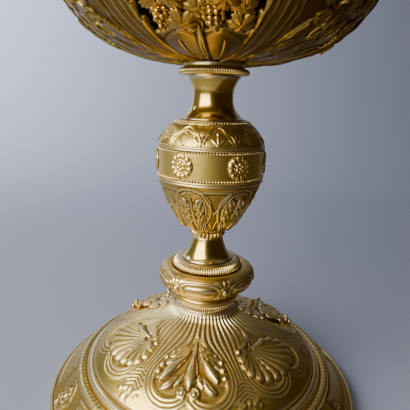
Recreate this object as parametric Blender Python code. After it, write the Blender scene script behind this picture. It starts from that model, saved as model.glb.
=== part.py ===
"""Gilt ciborium: a wide covered bowl in a pierced cradle, on a knopped stem and a domed round foot.

Metres, +Z up, the origin under the middle of the foot. Every turned piece is an outline of
radius and height, swung round the axis, with its carving added along the outline's normal.
"""

import bmesh
import bpy
import numpy as np

# Whole height, of which each piece's height is a share
CIBORIUM_HEIGHT = 0.3170

# Fits
JOINT_GAP = 0.0003
CUP_CLEARANCE = 0.0003
BEZEL_CLEARANCE = 0.0005

# Layout of the ornament
FIELDS = 6
TURN_DEG = -7.0

# Foot
FOOT_RADIUS = 0.0775
FOOT_HEIGHT = 0.1568 * CIBORIUM_HEIGHT
FOOT_NECK_RADIUS = 0.0145
FOOT_RIM_HEIGHT = 0.0189 * CIBORIUM_HEIGHT
FOOT_WALL = 0.0020
DOME_RADIUS = 0.0562
DOME_FOOT_HEIGHT = 0.0767 * CIBORIUM_HEIGHT
BEAD_ROW_RADIUS = 0.0620
BEAD_ROW_HEIGHT = 0.0011
FOOT_RELIEF = 0.0022
STRAP_RELIEF = 0.44 * FOOT_RELIEF
FIELD_STALK_SHARE = 0.22
FIELD_SWELL_SHARE = 0.62
NECK_FLUTES = 20
NECK_FLUTE_DEPTH = 0.0004

# Sprays of vine on the foot
SPRAY_FIELDS = {"vine_spray_right": 2, "vine_spray_left": 4}
SPRAY_INNER_RADIUS = 0.0215
SPRAY_OUTER_RADIUS = 0.0485
SPRAY_HALF_ANGLE_DEG = 20.0
SPRAY_THICKNESS = 0.0018
GRAPE_HEIGHT = 0.0013

# Stem, from the foot up
FOOT_COLLAR_RADIUS = 0.0153
FOOT_COLLAR_SEAT_RADIUS = 0.0141
FOOT_COLLAR_HEIGHT = 0.0123 * CIBORIUM_HEIGHT
LOWER_KNOP_RADIUS = 0.02325
LOWER_KNOP_SEAT_RADIUS = 0.0152
LOWER_KNOP_TORUS_RADIUS = 0.0166
LOWER_KNOP_WAIST_RADIUS = 0.0156
LOWER_KNOP_TOP_RADIUS = 0.0166
LOWER_KNOP_HEIGHT = 0.0558 * CIBORIUM_HEIGHT
CARTOUCHE_RELIEF = 0.0008
MILLED_RING_RADIUS = 0.0161
MILLED_RING_HEIGHT = 0.0082 * CIBORIUM_HEIGHT
SPOOL_FOOT_RADIUS = 0.0129
SPOOL_WAIST_RADIUS = 0.0072
SPOOL_HEIGHT = 0.0334 * CIBORIUM_HEIGHT
GADROON_RING_RADIUS = 0.0084
GADROON_RING_HEIGHT = 0.0095 * CIBORIUM_HEIGHT
GADROONS = 26
GADROON_DEPTH = 0.0006

# Main knop
KNOP_RADIUS = 0.0244
KNOP_SEAT_RADIUS = 0.0076
KNOP_TOP_RADIUS = 0.0172
KNOP_UNDER_HEIGHT = 0.0785 * CIBORIUM_HEIGHT
KNOP_BAND_HEIGHT = 0.0530 * CIBORIUM_HEIGHT
KNOP_SHOULDER_HEIGHT = 0.0328 * CIBORIUM_HEIGHT
KNOP_SHOULDER_FULLNESS = 1.8
KNOP_RIDGE = 0.0007
KNOP_RIDGE_WIDTH = 0.0028
KNOP_LEAVES = 18
KNOP_RELIEF = 0.0008
ROSETTES = 6
ROSETTE_RADIUS = 0.0054
ROSETTE_THICKNESS = 0.0009
ROSETTE_PETALS = 12  # an even number

# Neck and collar under the bowl
NECK_FOOT_RADIUS = 0.0166
NECK_WAIST_RADIUS = 0.0092
NECK_TOP_RADIUS = 0.0124
NECK_HEIGHT = 0.0587 * CIBORIUM_HEIGHT
BOWL_COLLAR_RADIUS = 0.0160
BOWL_COLLAR_TOP_RADIUS = 0.0138
BOWL_COLLAR_HEIGHT = 0.0161 * CIBORIUM_HEIGHT

# Bowl
BOWL_RADIUS = 0.0673
BOWL_DEPTH = 0.1388 * CIBORIUM_HEIGHT
BOWL_FULLNESS = 2.6
BOWL_STEPS = 6
CRADLE_THICKNESS = 0.0022
CRADLE_RELIEF = 0.0016
CRADLE_WINDOW_WIDTH = 0.0038
CRADLE_WINDOW_LENGTH = 0.0071
CUP_BOTTOM_GAP = 0.0030
CUP_BOSS_RADIUS = 0.0120
CUP_WALL = 0.0012
CUP_WALL_ABOVE_CRADLE = 0.0694 * CIBORIUM_HEIGHT

# Lid
LID_RIM_OVERHANG = 0.0016
LID_RIM_HEIGHT = 0.0132 * CIBORIUM_HEIGHT
LID_DOME_RADIUS = 0.0610
LID_DOME_HEIGHT = 0.0915 * CIBORIUM_HEIGHT
LID_DOME_FULLNESS = 2.2
LID_WALL = 0.0012
LID_BEZEL_DEPTH = 0.0050
LID_RELIEF = 0.0008
FINIAL_RADIUS = 0.0090
FINIAL_HEIGHT = 0.0410 * CIBORIUM_HEIGHT
FINIAL_SEAT_SHARE = 0.75
CROSS_HEIGHT = 0.1199 * CIBORIUM_HEIGHT
CROSS_SPAN = 0.0270
CROSS_ARM_WIDTH = 0.0046
CROSS_THICKNESS = 0.0036
CROSS_FOIL_RADIUS = 0.0036
CROSS_FOIL_LENGTH = 0.0054

# How finely the turned pieces are faceted
FOOT_SEGMENTS = 60
FOOT_HOLLOW_SEGMENTS = 20
KNOP_SEGMENTS = 36
LOWER_KNOP_SEGMENTS = 30
STEM_SEGMENTS = 20
CRADLE_SEGMENTS = 42
CUP_SEGMENTS = 30
LID_HOLLOW_SEGMENTS = 20
WINDOW_SIDES = 6

GILT = (0.62, 0.44, 0.17)
CHASED_ROUGHNESS = 0.38
POLISHED_ROUGHNESS = 0.18


def remove_everything():
    for thing in list(bpy.data.objects):
        bpy.data.objects.remove(thing, do_unlink=True)


def gilt_material(name, roughness):
    material = bpy.data.materials.new(name)
    material.use_nodes = True
    shader = material.node_tree.nodes["Principled BSDF"]
    shader.inputs["Base Color"].default_value = (*GILT, 1.0)
    shader.inputs["Metallic"].default_value = 1.0
    shader.inputs["Roughness"].default_value = roughness
    return material


def put_in_scene(name, bm, roughness=CHASED_ROUGHNESS):
    """Closes a mesh's normals outward and makes it a named object with its own material."""
    bmesh.ops.recalc_face_normals(bm, faces=bm.faces)
    mesh = bpy.data.meshes.new(name)
    bm.to_mesh(mesh)
    bm.free()
    mesh.shade_smooth()
    mesh.set_sharp_from_angle(angle=np.radians(40.0))
    thing = bpy.data.objects.new(name, mesh)
    thing.data.materials.append(gilt_material(f"{name}_gilt", roughness))
    bpy.context.scene.collection.objects.link(thing)
    return thing


def cut_away(body, cutter):
    """Takes a hidden cutter out of a body."""
    cutter.hide_render = True
    cutter.display_type = "WIRE"
    modifier = body.modifiers.new(f"minus {cutter.name}", "BOOLEAN")
    modifier.operation = "DIFFERENCE"
    modifier.solver = "EXACT"
    modifier.object = cutter


def sampled(start, end, count):
    """Numbers from start to end, the first left out, so that stretches of an outline can follow on."""
    return np.linspace(start, end, count + 1)[1:]


def arc(centre, radii, start_deg, end_deg, count):
    """Points of an ellipse about a centre, from one angle to another."""
    angles = np.radians(np.linspace(start_deg, end_deg, count + 1))
    return [
        (centre[0] + radii[0] * np.cos(a), centre[1] + radii[1] * np.sin(a))
        for a in angles
    ]


def superellipse_height(radius, full_radius, depth, fullness):
    """How far a bowl's skin lies from its widest level at a radius."""
    share = np.clip(radius / full_radius, 0.0, 1.0)
    return depth * (1.0 - share**fullness) ** (1.0 / fullness)


def normals_of(outline):
    """Unit normals of an outline that runs from bottom to top, pointing away from the axis."""
    points = np.array(outline)
    along = np.gradient(points, axis=0)
    along /= np.maximum(np.linalg.norm(along, axis=1), 1e-9)[:, None]
    return np.stack([along[:, 1], -along[:, 0]], axis=1)


def inset(outline, distance):
    """An outline moved inward along its normals."""
    return [
        (max(r - distance * n[0], 0.0), z - distance * n[1])
        for (r, z), n in zip(outline, normals_of(outline))
    ]


def turned(outline, segments, relief=None, turn_deg=0.0):
    """Swings an outline round +Z, closed to the axis below and above, with carving added."""
    bm = bmesh.new()
    outline = list(outline)
    if outline[0][0] > 0.0:
        outline.insert(0, (0.0, outline[0][1]))
    outline.append((0.0, outline[-1][1]))
    normals = normals_of(outline)
    azimuths = np.radians(turn_deg) + np.arange(segments) * 2 * np.pi / segments
    rings = []
    for (r, z), normal in zip(outline, normals):
        if r < 1e-9:
            rings.append([bm.verts.new((0.0, 0.0, z))])
            continue
        ring = []
        for azimuth in azimuths:
            lift = relief(r, z, np.degrees(azimuth)) if relief else 0.0
            reach = r + lift * normal[0]
            ring.append(
                bm.verts.new(
                    (reach * np.sin(azimuth), -reach * np.cos(azimuth), z + lift * normal[1])
                )
            )
        rings.append(ring)
    for low, high in zip(rings, rings[1:]):
        for k in range(segments):
            corners = [
                low[k % len(low)],
                low[(k + 1) % len(low)],
                high[(k + 1) % len(high)],
                high[k % len(high)],
            ]
            bm.faces.new(list(dict.fromkeys(corners)))
    return bm


def bump(x):
    """A round swelling, one at zero and nothing beyond one either way."""
    return np.cos(0.5 * np.pi * np.clip(x, -1.0, 1.0)) ** 2


def field_of(azimuth_deg):
    """Which field an azimuth lies in, and how many degrees off its middle."""
    width = 360.0 / FIELDS
    turned_by = azimuth_deg - TURN_DEG
    number = round(turned_by / width)
    return number % FIELDS, turned_by - number * width


def pear_half_width(share):
    """Half the width of a pear-shaped field, in degrees, from its stalk at 0 to its base at 1."""
    half_field = 180.0 / FIELDS
    swell = np.sin(np.pi * np.clip(share, 0.0, 1.0) ** 1.5) ** 0.8
    return half_field * (FIELD_STALK_SHARE + FIELD_SWELL_SHARE * swell)


# Foot


def dome_height(radius):
    """The foot's dome: a flared neck, a nearly straight slope and a rounded shoulder."""
    t = (radius - FOOT_NECK_RADIUS) / (DOME_RADIUS - FOOT_NECK_RADIUS)
    share = 0.87 - 0.72 * t - 0.15 * t**8 + 0.13 * np.exp(-t / 0.02)
    return DOME_FOOT_HEIGHT + share * (FOOT_HEIGHT - DOME_FOOT_HEIGHT)


def foot_outline():
    """From the rim's lower edge up to the neck."""
    rim = [
        (FOOT_RADIUS, 0.0),
        (FOOT_RADIUS, FOOT_RIM_HEIGHT),
        (FOOT_RADIUS - 0.0018, FOOT_RIM_HEIGHT + 0.0011),
    ]
    row_height = DOME_FOOT_HEIGHT - 0.0050
    row_outer = BEAD_ROW_RADIUS + 2 * BEAD_ROW_HEIGHT
    flange = []
    for t in sampled(0.0, 1.0, 2):
        radius = rim[-1][0] + (row_outer - rim[-1][0]) * t
        sag = 0.0012 * np.sin(np.pi * t)
        flange.append((radius, rim[-1][1] + (row_height - 0.0012 - rim[-1][1]) * t - sag))
    row = arc((BEAD_ROW_RADIUS, row_height), (2 * BEAD_ROW_HEIGHT, BEAD_ROW_HEIGHT), 40.0, 150.0, 2)
    step = [
        (DOME_RADIUS + 0.0026, row_height + 0.0028),
        (DOME_RADIUS + 0.0006, row_height + 0.0032),
    ]
    radii = np.concatenate([
        np.linspace(DOME_RADIUS, DOME_RADIUS - 0.0045, 2),
        sampled(DOME_RADIUS - 0.0045, FOOT_NECK_RADIUS + 0.0045, 7),
        sampled(FOOT_NECK_RADIUS + 0.0045, FOOT_NECK_RADIUS, 2),
    ])
    dome = [(radius, dome_height(radius)) for radius in radii]
    return rim + flange + row + step + dome


def acanthus(share, off_deg):
    """Three swelling leaves side by side, the middle one longest."""
    height = 0.0
    for middle, top, length in ((0.0, 0.20, 0.36), (-9.5, 0.30, 0.28), (9.5, 0.30, 0.28)):
        along = (share - top - length) / length
        height = max(height, bump((off_deg - middle) / 5.0) * bump(along))
    return height


def shell(share, off_deg):
    """A fan of rays that opens outward."""
    across = off_deg / 19.0
    reach = np.hypot(across, (share - 0.35) / 0.48)
    rays = 0.65 + 0.35 * np.cos(np.radians(off_deg) * 360.0 / 8.0)
    return 0.9 * rays * (bump(reach / 1.15) if share > 0.30 else 0.0)


def foot_relief(radius, height, azimuth_deg):
    """Carving of the foot: neck flutes, pear-shaped fields in raised straps, and their motifs."""
    if radius > DOME_RADIUS + 1e-6 or height > FOOT_HEIGHT - 1e-6:
        return 0.0
    share = (radius - FOOT_NECK_RADIUS) / (DOME_RADIUS - FOOT_NECK_RADIUS)
    flutes = NECK_FLUTE_DEPTH * np.cos(np.radians(azimuth_deg - TURN_DEG) * NECK_FLUTES)
    flutes *= bump(share / 0.5)
    number, off = field_of(azimuth_deg)
    across = abs(off) / pear_half_width(share)
    strap = STRAP_RELIEF * bump((across - 1.12) / 0.45) * bump((share - 0.55) / 0.45)
    if across > 0.95 or not 0.12 < share < 0.94:
        return flutes + strap
    if number in SPRAY_FIELDS.values():
        return 0.0
    motif = acanthus(share, off) if number % 2 == 0 else shell(share, off)
    return FOOT_RELIEF * motif * bump((share - 0.55) / 0.48)


def make_foot():
    outline = foot_outline()
    body = put_in_scene("foot", turned(outline, FOOT_SEGMENTS, foot_relief, TURN_DEG))
    inner = inset(outline[1::3], FOOT_WALL)
    below = [(FOOT_RADIUS - FOOT_WALL, -0.005)]
    top = [(FOOT_NECK_RADIUS - FOOT_WALL, FOOT_HEIGHT - 2 * FOOT_WALL)]
    under_neck = [(r, z) for r, z in inner if z < FOOT_HEIGHT - 3 * FOOT_WALL]
    hollow = turned(below + under_neck + top, FOOT_HOLLOW_SEGMENTS, None, TURN_DEG)
    cut_away(body, put_in_scene("foot_hollow", hollow))


def spray_top(u, v):
    """Thickness of a spray at u across and v along, each from -1 to 1: leaves, and grapes in rows."""
    leaf = 0.45 + 0.35 * np.cos(3.0 * np.pi * u) * np.cos(np.pi * v)
    grapes = abs(np.sin(2.5 * np.pi * u) * np.sin(2.5 * np.pi * v))
    return SPRAY_THICKNESS * leaf + GRAPE_HEIGHT * grapes * bump(v - 0.4)


def make_spray(name, field):
    """A cast spray that lies on the foot's slope, with a lobed outline."""
    bm = bmesh.new()
    across, along = 6, 8
    middle = 0.5 * (SPRAY_INNER_RADIUS + SPRAY_OUTER_RADIUS)
    reach = 0.5 * (SPRAY_OUTER_RADIUS - SPRAY_INNER_RADIUS)
    layers = []
    for top in (False, True):
        layer = []
        for i in range(across + 1):
            u = 2.0 * i / across - 1.0
            line = []
            for j in range(along + 1):
                v = 2.0 * j / along - 1.0
                width = SPRAY_HALF_ANGLE_DEG * np.sqrt(1.0 - 0.75 * v * v)
                azimuth = np.radians(TURN_DEG + 360.0 / FIELDS * field + u * width)
                radius = middle + reach * v * np.sqrt(1.0 - 0.5 * u * u)
                edge = 0.25 if i in (0, across) or j in (0, along) else 1.0
                lift = JOINT_GAP + (edge * spray_top(u, v) if top else 0.0)
                line.append(
                    bm.verts.new(
                        (radius * np.sin(azimuth), -radius * np.cos(azimuth), dome_height(radius) + lift)
                    )
                )
            layer.append(line)
        layers.append(layer)
    for layer in layers:
        for i in range(across):
            for j in range(along):
                bm.faces.new((layer[i][j], layer[i + 1][j], layer[i + 1][j + 1]))
                bm.faces.new((layer[i][j], layer[i + 1][j + 1], layer[i][j + 1]))
    low, high = layers
    border = [(i, 0) for i in range(across)]
    border += [(across, j) for j in range(along)]
    border += [(i, along) for i in range(across, 0, -1)]
    border += [(0, j) for j in range(along, 0, -1)]
    for (i, j), (m, n) in zip(border, border[1:] + border[:1]):
        bm.faces.new((low[i][j], low[m][n], high[m][n]))
        bm.faces.new((low[i][j], high[m][n], high[i][j]))
    put_in_scene(name, bm)


# Stem


def place(outline, base):
    """Lifts an outline that starts at zero onto its base."""
    return [(r, base + z) for r, z in outline]


def ring_outline(radius, height, seat_radius):
    """A round ring with flat seats above and below."""
    return [(seat_radius, 0.0)] + arc(
        (seat_radius, 0.5 * height), (radius - seat_radius, 0.5 * height), -60.0, 60.0, 2
    ) + [(seat_radius, height)]


def make_foot_collar(base):
    fillet = 0.22 * FOOT_COLLAR_HEIGHT
    torus = FOOT_COLLAR_HEIGHT - fillet
    outline = [(FOOT_COLLAR_SEAT_RADIUS, 0.0)] + arc(
        (FOOT_COLLAR_SEAT_RADIUS, fillet + 0.5 * torus),
        (FOOT_COLLAR_RADIUS - FOOT_COLLAR_SEAT_RADIUS, 0.5 * torus),
        -80.0, 80.0, 4,
    )
    put_in_scene("foot_collar", turned(place(outline, base), STEM_SEGMENTS))
    return base + FOOT_COLLAR_HEIGHT


def cartouches(radius, height, azimuth_deg):
    """Long ovals round the knop's widest part, with a boss between each two."""
    _, off = field_of(azimuth_deg)
    level = bump((radius - LOWER_KNOP_RADIUS) / (0.16 * LOWER_KNOP_RADIUS))
    oval = bump(off / 21.0)
    boss = bump((abs(off) - 30.0) / 7.0)
    return CARTOUCHE_RELIEF * level * (0.8 * oval + boss)


def make_lower_knop(base):
    widest = 0.70 * LOWER_KNOP_HEIGHT
    waist = 0.19 * LOWER_KNOP_HEIGHT
    torus = [
        (LOWER_KNOP_SEAT_RADIUS, 0.0),
        (LOWER_KNOP_TORUS_RADIUS, 0.4 * waist),
    ]
    under = arc(
        (LOWER_KNOP_WAIST_RADIUS, widest),
        (LOWER_KNOP_RADIUS - LOWER_KNOP_WAIST_RADIUS, widest - waist),
        -90.0, 0.0, 4,
    )
    over = arc(
        (LOWER_KNOP_TOP_RADIUS, widest),
        (LOWER_KNOP_RADIUS - LOWER_KNOP_TOP_RADIUS, LOWER_KNOP_HEIGHT - widest),
        0.0, 90.0, 3,
    )[1:]
    bm = turned(place(torus + under + over, base), LOWER_KNOP_SEGMENTS, cartouches, TURN_DEG)
    put_in_scene("lower_knop", bm)
    return base + LOWER_KNOP_HEIGHT


def make_milled_ring(base):
    outline = ring_outline(MILLED_RING_RADIUS, MILLED_RING_HEIGHT, MILLED_RING_RADIUS - 0.0026)
    put_in_scene("milled_ring", turned(place(outline, base), STEM_SEGMENTS))
    return base + MILLED_RING_HEIGHT


def make_bell_spool(base):
    outline = [(SPOOL_FOOT_RADIUS, 0.0)]
    for t in sampled(0.0, 1.0, 4):
        flare = (SPOOL_FOOT_RADIUS - SPOOL_WAIST_RADIUS) * (1.0 - t**0.55) ** 1.15
        outline.append((SPOOL_WAIST_RADIUS + flare, SPOOL_HEIGHT * t))
    put_in_scene("bell_spool", turned(place(outline, base), STEM_SEGMENTS), POLISHED_ROUGHNESS)
    return base + SPOOL_HEIGHT


def gadroons(radius, height, azimuth_deg):
    if radius < 0.9 * GADROON_RING_RADIUS:
        return 0.0
    return -GADROON_DEPTH * (0.5 - 0.5 * np.cos(np.radians(azimuth_deg) * GADROONS))


def make_gadroon_ring(base):
    seat = SPOOL_WAIST_RADIUS - 0.0002
    outline = ring_outline(GADROON_RING_RADIUS, GADROON_RING_HEIGHT, seat)
    put_in_scene("gadroon_ring", turned(place(outline, base), 2 * GADROONS, gadroons))
    return base + GADROON_RING_HEIGHT


def ridge(height):
    """A raised moulding round the knop, upward from a height."""
    return [
        (KNOP_RADIUS, height),
        (KNOP_RADIUS + KNOP_RIDGE, height + 0.5 * KNOP_RIDGE_WIDTH),
        (KNOP_RADIUS, height + KNOP_RIDGE_WIDTH),
    ]


def knop_relief(radius, height, azimuth_deg):
    """Pointed arches under the band and a ring of pointed leaves above it, from the knop's base."""
    _, off = field_of(azimuth_deg)
    band_top = KNOP_UNDER_HEIGHT + KNOP_BAND_HEIGHT
    if 0.0 < height < KNOP_UNDER_HEIGHT - 0.0004:
        share = height / KNOP_UNDER_HEIGHT
        arch = (1.0 - share) ** 0.7 * 27.0
        return KNOP_RELIEF * (0.9 if 0.10 < share and abs(off) < 27.0 - 0.9 * arch else 0.0)
    if height > band_top + 0.0004 and radius > KNOP_TOP_RADIUS + 0.0002:
        leaf = 0.5 + 0.5 * np.cos(np.radians(azimuth_deg - TURN_DEG) * KNOP_LEAVES)
        return KNOP_RELIEF * leaf
    return 0.0


def make_main_knop(base):
    band_top = KNOP_UNDER_HEIGHT + KNOP_BAND_HEIGHT
    top = band_top + KNOP_SHOULDER_HEIGHT
    under = [
        (KNOP_SEAT_RADIUS + (KNOP_RADIUS - KNOP_SEAT_RADIUS) * t**0.80, KNOP_UNDER_HEIGHT * t**1.22)
        for t in np.linspace(0.0, 1.0, 7)
    ]
    over = []
    for t in sampled(0.0, 1.0, 4):
        inward = (KNOP_RADIUS - KNOP_TOP_RADIUS) * t**KNOP_SHOULDER_FULLNESS
        over.append((KNOP_RADIUS - inward, band_top + KNOP_SHOULDER_HEIGHT * t))
    outline = under[:-1] + ridge(KNOP_UNDER_HEIGHT)
    outline += ridge(band_top - KNOP_RIDGE_WIDTH) + over
    carved = turned(
        place(outline, base), KNOP_SEGMENTS, lambda r, z, a: knop_relief(r, z - base, a), TURN_DEG
    )
    put_in_scene("main_knop", carved)
    middle = base + KNOP_UNDER_HEIGHT + 0.5 * KNOP_BAND_HEIGHT
    for number in range(ROSETTES):
        make_rosette(number, middle)
    return base + top


def make_rosette(number, height):
    """A round flower that hugs the knop's band: a lobed rim, a hollow ring and a raised middle."""
    bm = bmesh.new()
    azimuth = np.radians(360.0 / ROSETTES * (number + 0.5))
    skin = KNOP_RADIUS + JOINT_GAP
    steps = 2 * ROSETTE_PETALS
    levels = ((1.0, 0.0), (1.0, 0.7), (0.62, 0.6), (0.34, 1.0))

    def corner(share, angle, lift):
        across = share * ROSETTE_RADIUS * np.sin(angle) / skin
        up = share * ROSETTE_RADIUS * np.cos(angle)
        reach = skin + lift * ROSETTE_THICKNESS
        turn = azimuth + across
        return bm.verts.new((reach * np.sin(turn), -reach * np.cos(turn), height + up))

    rings = []
    for share, lift in levels:
        ring = []
        for k in range(steps if share == 1.0 else ROSETTE_PETALS):
            angle = 2 * np.pi * k / (steps if share == 1.0 else ROSETTE_PETALS)
            scallop = 1.0 if share < 1.0 or k % 2 == 0 else 0.93
            ring.append(corner(share * scallop, angle, lift))
        rings.append(ring)
    back = rings[0]
    for k in range(ROSETTE_PETALS // 2):
        for side in (1, -1):
            corners = [back[side * k], back[side * (k + 1)]]
            corners += [back[side * (ROSETTE_PETALS - k - 1)], back[side * (ROSETTE_PETALS - k)]]
            bm.faces.new(list(dict.fromkeys(corners)))
    for k in range(steps):
        m = (k + 1) % steps
        bm.faces.new((rings[0][k], rings[0][m], rings[1][m], rings[1][k]))
    for k in range(ROSETTE_PETALS):
        m = (k + 1) % ROSETTE_PETALS
        bm.faces.new((rings[1][2 * k], rings[1][2 * k + 1], rings[2][k]))
        bm.faces.new((rings[1][2 * k + 1], rings[1][2 * m], rings[2][m], rings[2][k]))
        for low, high in zip(rings[2:], rings[3:]):
            bm.faces.new((low[k], low[m], high[m], high[k]))
    bm.faces.new(rings[-1])
    put_in_scene(f"rosette_{number + 1}", bm)


def make_stem_neck(base):
    waist = 0.56 * NECK_HEIGHT
    outline = []
    for t in np.linspace(0.0, 1.0, 5):
        flare = (NECK_FOOT_RADIUS - NECK_WAIST_RADIUS) * (1.0 - t) ** 2.6
        outline.append((NECK_WAIST_RADIUS + flare, waist * t**1.15))
    for t in sampled(0.0, 1.0, 3):
        flare = (NECK_TOP_RADIUS - NECK_WAIST_RADIUS) * t**2.2
        outline.append((NECK_WAIST_RADIUS + flare, waist + (NECK_HEIGHT - waist) * t))
    put_in_scene("stem_neck", turned(place(outline, base), STEM_SEGMENTS), POLISHED_ROUGHNESS)
    return base + NECK_HEIGHT


def make_bowl_collar(base):
    ring = 0.58 * BOWL_COLLAR_HEIGHT
    seat = BOWL_COLLAR_TOP_RADIUS
    outline = [(seat, 0.0)] + arc(
        (seat, 0.5 * ring), (BOWL_COLLAR_RADIUS - seat, 0.5 * ring), -60.0, 60.0, 2
    ) + [(seat, ring + 0.0003), (seat, BOWL_COLLAR_HEIGHT)]
    put_in_scene("bowl_collar", turned(place(outline, base), STEM_SEGMENTS))
    return base + BOWL_COLLAR_HEIGHT


# Bowl


def bowl_outline(level, offset, bottom_offset, steps):
    """The bowl's skin under its widest level, moved in at the side and up at the bottom."""
    angles = np.linspace(0.0, 0.5 * np.pi, steps + 1)
    radius = BOWL_RADIUS - offset
    depth = BOWL_DEPTH - bottom_offset
    power = 2.0 / BOWL_FULLNESS
    return [(radius * np.sin(a) ** power, level - depth * np.cos(a) ** power) for a in angles]


def cradle_relief(radius, height, azimuth_deg):
    """Leaves at the foot of each field, and straps that sweep up between the fields."""
    share = radius / BOWL_RADIUS
    number, off = field_of(azimuth_deg)
    strap_middle = 30.0 - 6.0 * np.sin(np.pi * share)
    strap = bump((abs(off) - strap_middle) / 9.0)
    leaf = 0.0
    if number % 2 == 0:
        leaf = bump((abs(off) - 10.0) / 9.0) * bump((share - 0.50) / 0.30)
    else:
        leaf = bump(off / 12.0) * bump((share - 0.72) / 0.25)
    return CRADLE_RELIEF * (max(strap, leaf) - 0.5) * bump((share - 0.62) / 0.5)


def cut_windows(body, level):
    """Openings in the cradle on both sides of each field's middle."""
    bm = bmesh.new()
    for field in range(FIELDS):
        for side in (-1, 1):
            off = side * (7.5 if field % 2 == 0 else 15.0)
            azimuth = np.radians(TURN_DEG + 360.0 / FIELDS * field + off)
            radius = (0.865 if field % 2 == 0 else 0.90) * BOWL_RADIUS
            depth = superellipse_height(radius, BOWL_RADIUS, BOWL_DEPTH, BOWL_FULLNESS)
            centre = np.array([radius * np.sin(azimuth), -radius * np.cos(azimuth), level - depth])
            steepness = (radius / BOWL_RADIUS) ** (BOWL_FULLNESS - 1) / BOWL_RADIUS
            drop = (depth / BOWL_DEPTH) ** (BOWL_FULLNESS - 1) / BOWL_DEPTH
            outward = np.array([
                steepness * np.sin(azimuth),
                -steepness * np.cos(azimuth),
                -drop,
            ])
            outward /= np.linalg.norm(outward)
            sideways = np.array([np.cos(azimuth), np.sin(azimuth), 0.0])
            up = np.cross(outward, sideways)
            caps = []
            for reach in (-0.006, 0.006):
                caps.append([
                    bm.verts.new(
                        centre
                        + reach * outward
                        + 0.5 * CRADLE_WINDOW_WIDTH * np.cos(a) * sideways
                        + 0.5 * CRADLE_WINDOW_LENGTH * np.sin(a) * up
                    )
                    for a in np.arange(WINDOW_SIDES) * 2 * np.pi / WINDOW_SIDES
                ])
            bm.faces.new(caps[0])
            bm.faces.new(caps[1])
            for k in range(WINDOW_SIDES):
                m = (k + 1) % WINDOW_SIDES
                bm.faces.new((caps[0][k], caps[0][m], caps[1][m], caps[1][k]))
    cut_away(body, put_in_scene("cradle_windows", bm))


def make_cradle(base):
    """The pierced false cup."""
    level = base + BOWL_DEPTH
    outer = bowl_outline(level, 0.0, 0.0, 9)
    body = put_in_scene("false_cup", turned(outer, CRADLE_SEGMENTS, cradle_relief, TURN_DEG))
    inner = bowl_outline(level, CRADLE_THICKNESS, CRADLE_THICKNESS, BOWL_STEPS)
    inner.append((inner[-1][0], level + 0.005))
    cut_away(body, put_in_scene("false_cup_hollow", turned(inner, CUP_SEGMENTS, None, TURN_DEG)))
    cut_windows(body, level)
    return level


def make_cup(level):
    """The plain cup: it sits on a boss, and stands clear of the cradle at the bottom."""
    side = CRADLE_THICKNESS + CUP_CLEARANCE
    bottom = CRADLE_THICKNESS + CUP_BOTTOM_GAP
    cradle_inside = np.array(bowl_outline(level, CRADLE_THICKNESS, CRADLE_THICKNESS, BOWL_STEPS))
    boss_foot = np.interp(CUP_BOSS_RADIUS, cradle_inside[:, 0], cradle_inside[:, 1]) + JOINT_GAP
    rim = level + CUP_WALL_ABOVE_CRADLE
    skin = [p for p in bowl_outline(level, side, bottom, BOWL_STEPS) if p[0] > CUP_BOSS_RADIUS]
    boss_top = level - superellipse_height(
        CUP_BOSS_RADIUS, BOWL_RADIUS - side, BOWL_DEPTH - bottom, BOWL_FULLNESS
    )
    boss = [(CUP_BOSS_RADIUS, boss_foot), (CUP_BOSS_RADIUS, boss_top)]
    outer = boss + skin + [(BOWL_RADIUS - side, rim)]
    body = put_in_scene("cup", turned(outer, CUP_SEGMENTS, None, TURN_DEG), POLISHED_ROUGHNESS)
    inner = bowl_outline(level, side + CUP_WALL, bottom + CUP_WALL, BOWL_STEPS)
    inner.append((inner[-1][0], rim + 0.005))
    cut_away(body, put_in_scene("cup_hollow", turned(inner, CUP_SEGMENTS, None, TURN_DEG)))
    return rim


# Lid


def lid_relief(radius, height, azimuth_deg):
    """Broad lobes over the lid, one to a field, parted by narrow furrows."""
    _, off = field_of(azimuth_deg)
    share = radius / LID_DOME_RADIUS
    return LID_RELIEF * (bump(off / 30.0) ** 0.4 - 1.0) * bump((share - 0.60) / 0.42)


def dome_outline(base, radius, height, top_radius, steps):
    """A dome from its edge up to a flat top."""
    power = 2.0 / LID_DOME_FULLNESS
    last = np.arccos(np.clip((top_radius / radius) ** (1.0 / power), 0.0, 1.0))
    return [
        (radius * np.cos(a) ** power, base + height * np.sin(a) ** power)
        for a in np.linspace(0.0, last, steps + 1)
    ]


def make_lid(base):
    cup_inside = BOWL_RADIUS - CRADLE_THICKNESS - CUP_CLEARANCE - CUP_WALL
    bezel = cup_inside - BEZEL_CLEARANCE
    rim_radius = BOWL_RADIUS - CRADLE_THICKNESS - CUP_CLEARANCE + LID_RIM_OVERHANG
    spring = base + LID_RIM_HEIGHT
    outline = [
        (bezel, base - LID_BEZEL_DEPTH),
        (bezel, base),
        (rim_radius - 0.0006, base),
        (rim_radius, base + 0.35 * LID_RIM_HEIGHT),
        (rim_radius - 0.0012, base + 0.8 * LID_RIM_HEIGHT),
    ]
    top_radius = FINIAL_SEAT_SHARE * FINIAL_RADIUS
    dome = dome_outline(spring, LID_DOME_RADIUS, LID_DOME_HEIGHT, top_radius, 6)
    body = put_in_scene("lid", turned(outline + dome, CUP_SEGMENTS, lid_relief, TURN_DEG))
    inner_radius = min(bezel, LID_DOME_RADIUS) - LID_WALL - LID_RELIEF
    inner = [(bezel - LID_WALL, base - LID_BEZEL_DEPTH - 0.005), (bezel - LID_WALL, base)]
    inner += dome_outline(spring, inner_radius, LID_DOME_HEIGHT - LID_WALL - LID_RELIEF, top_radius, 4)
    cut_away(body, put_in_scene("lid_hollow", turned(inner, LID_HOLLOW_SEGMENTS, None, TURN_DEG)))
    return dome[-1][1]


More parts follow.
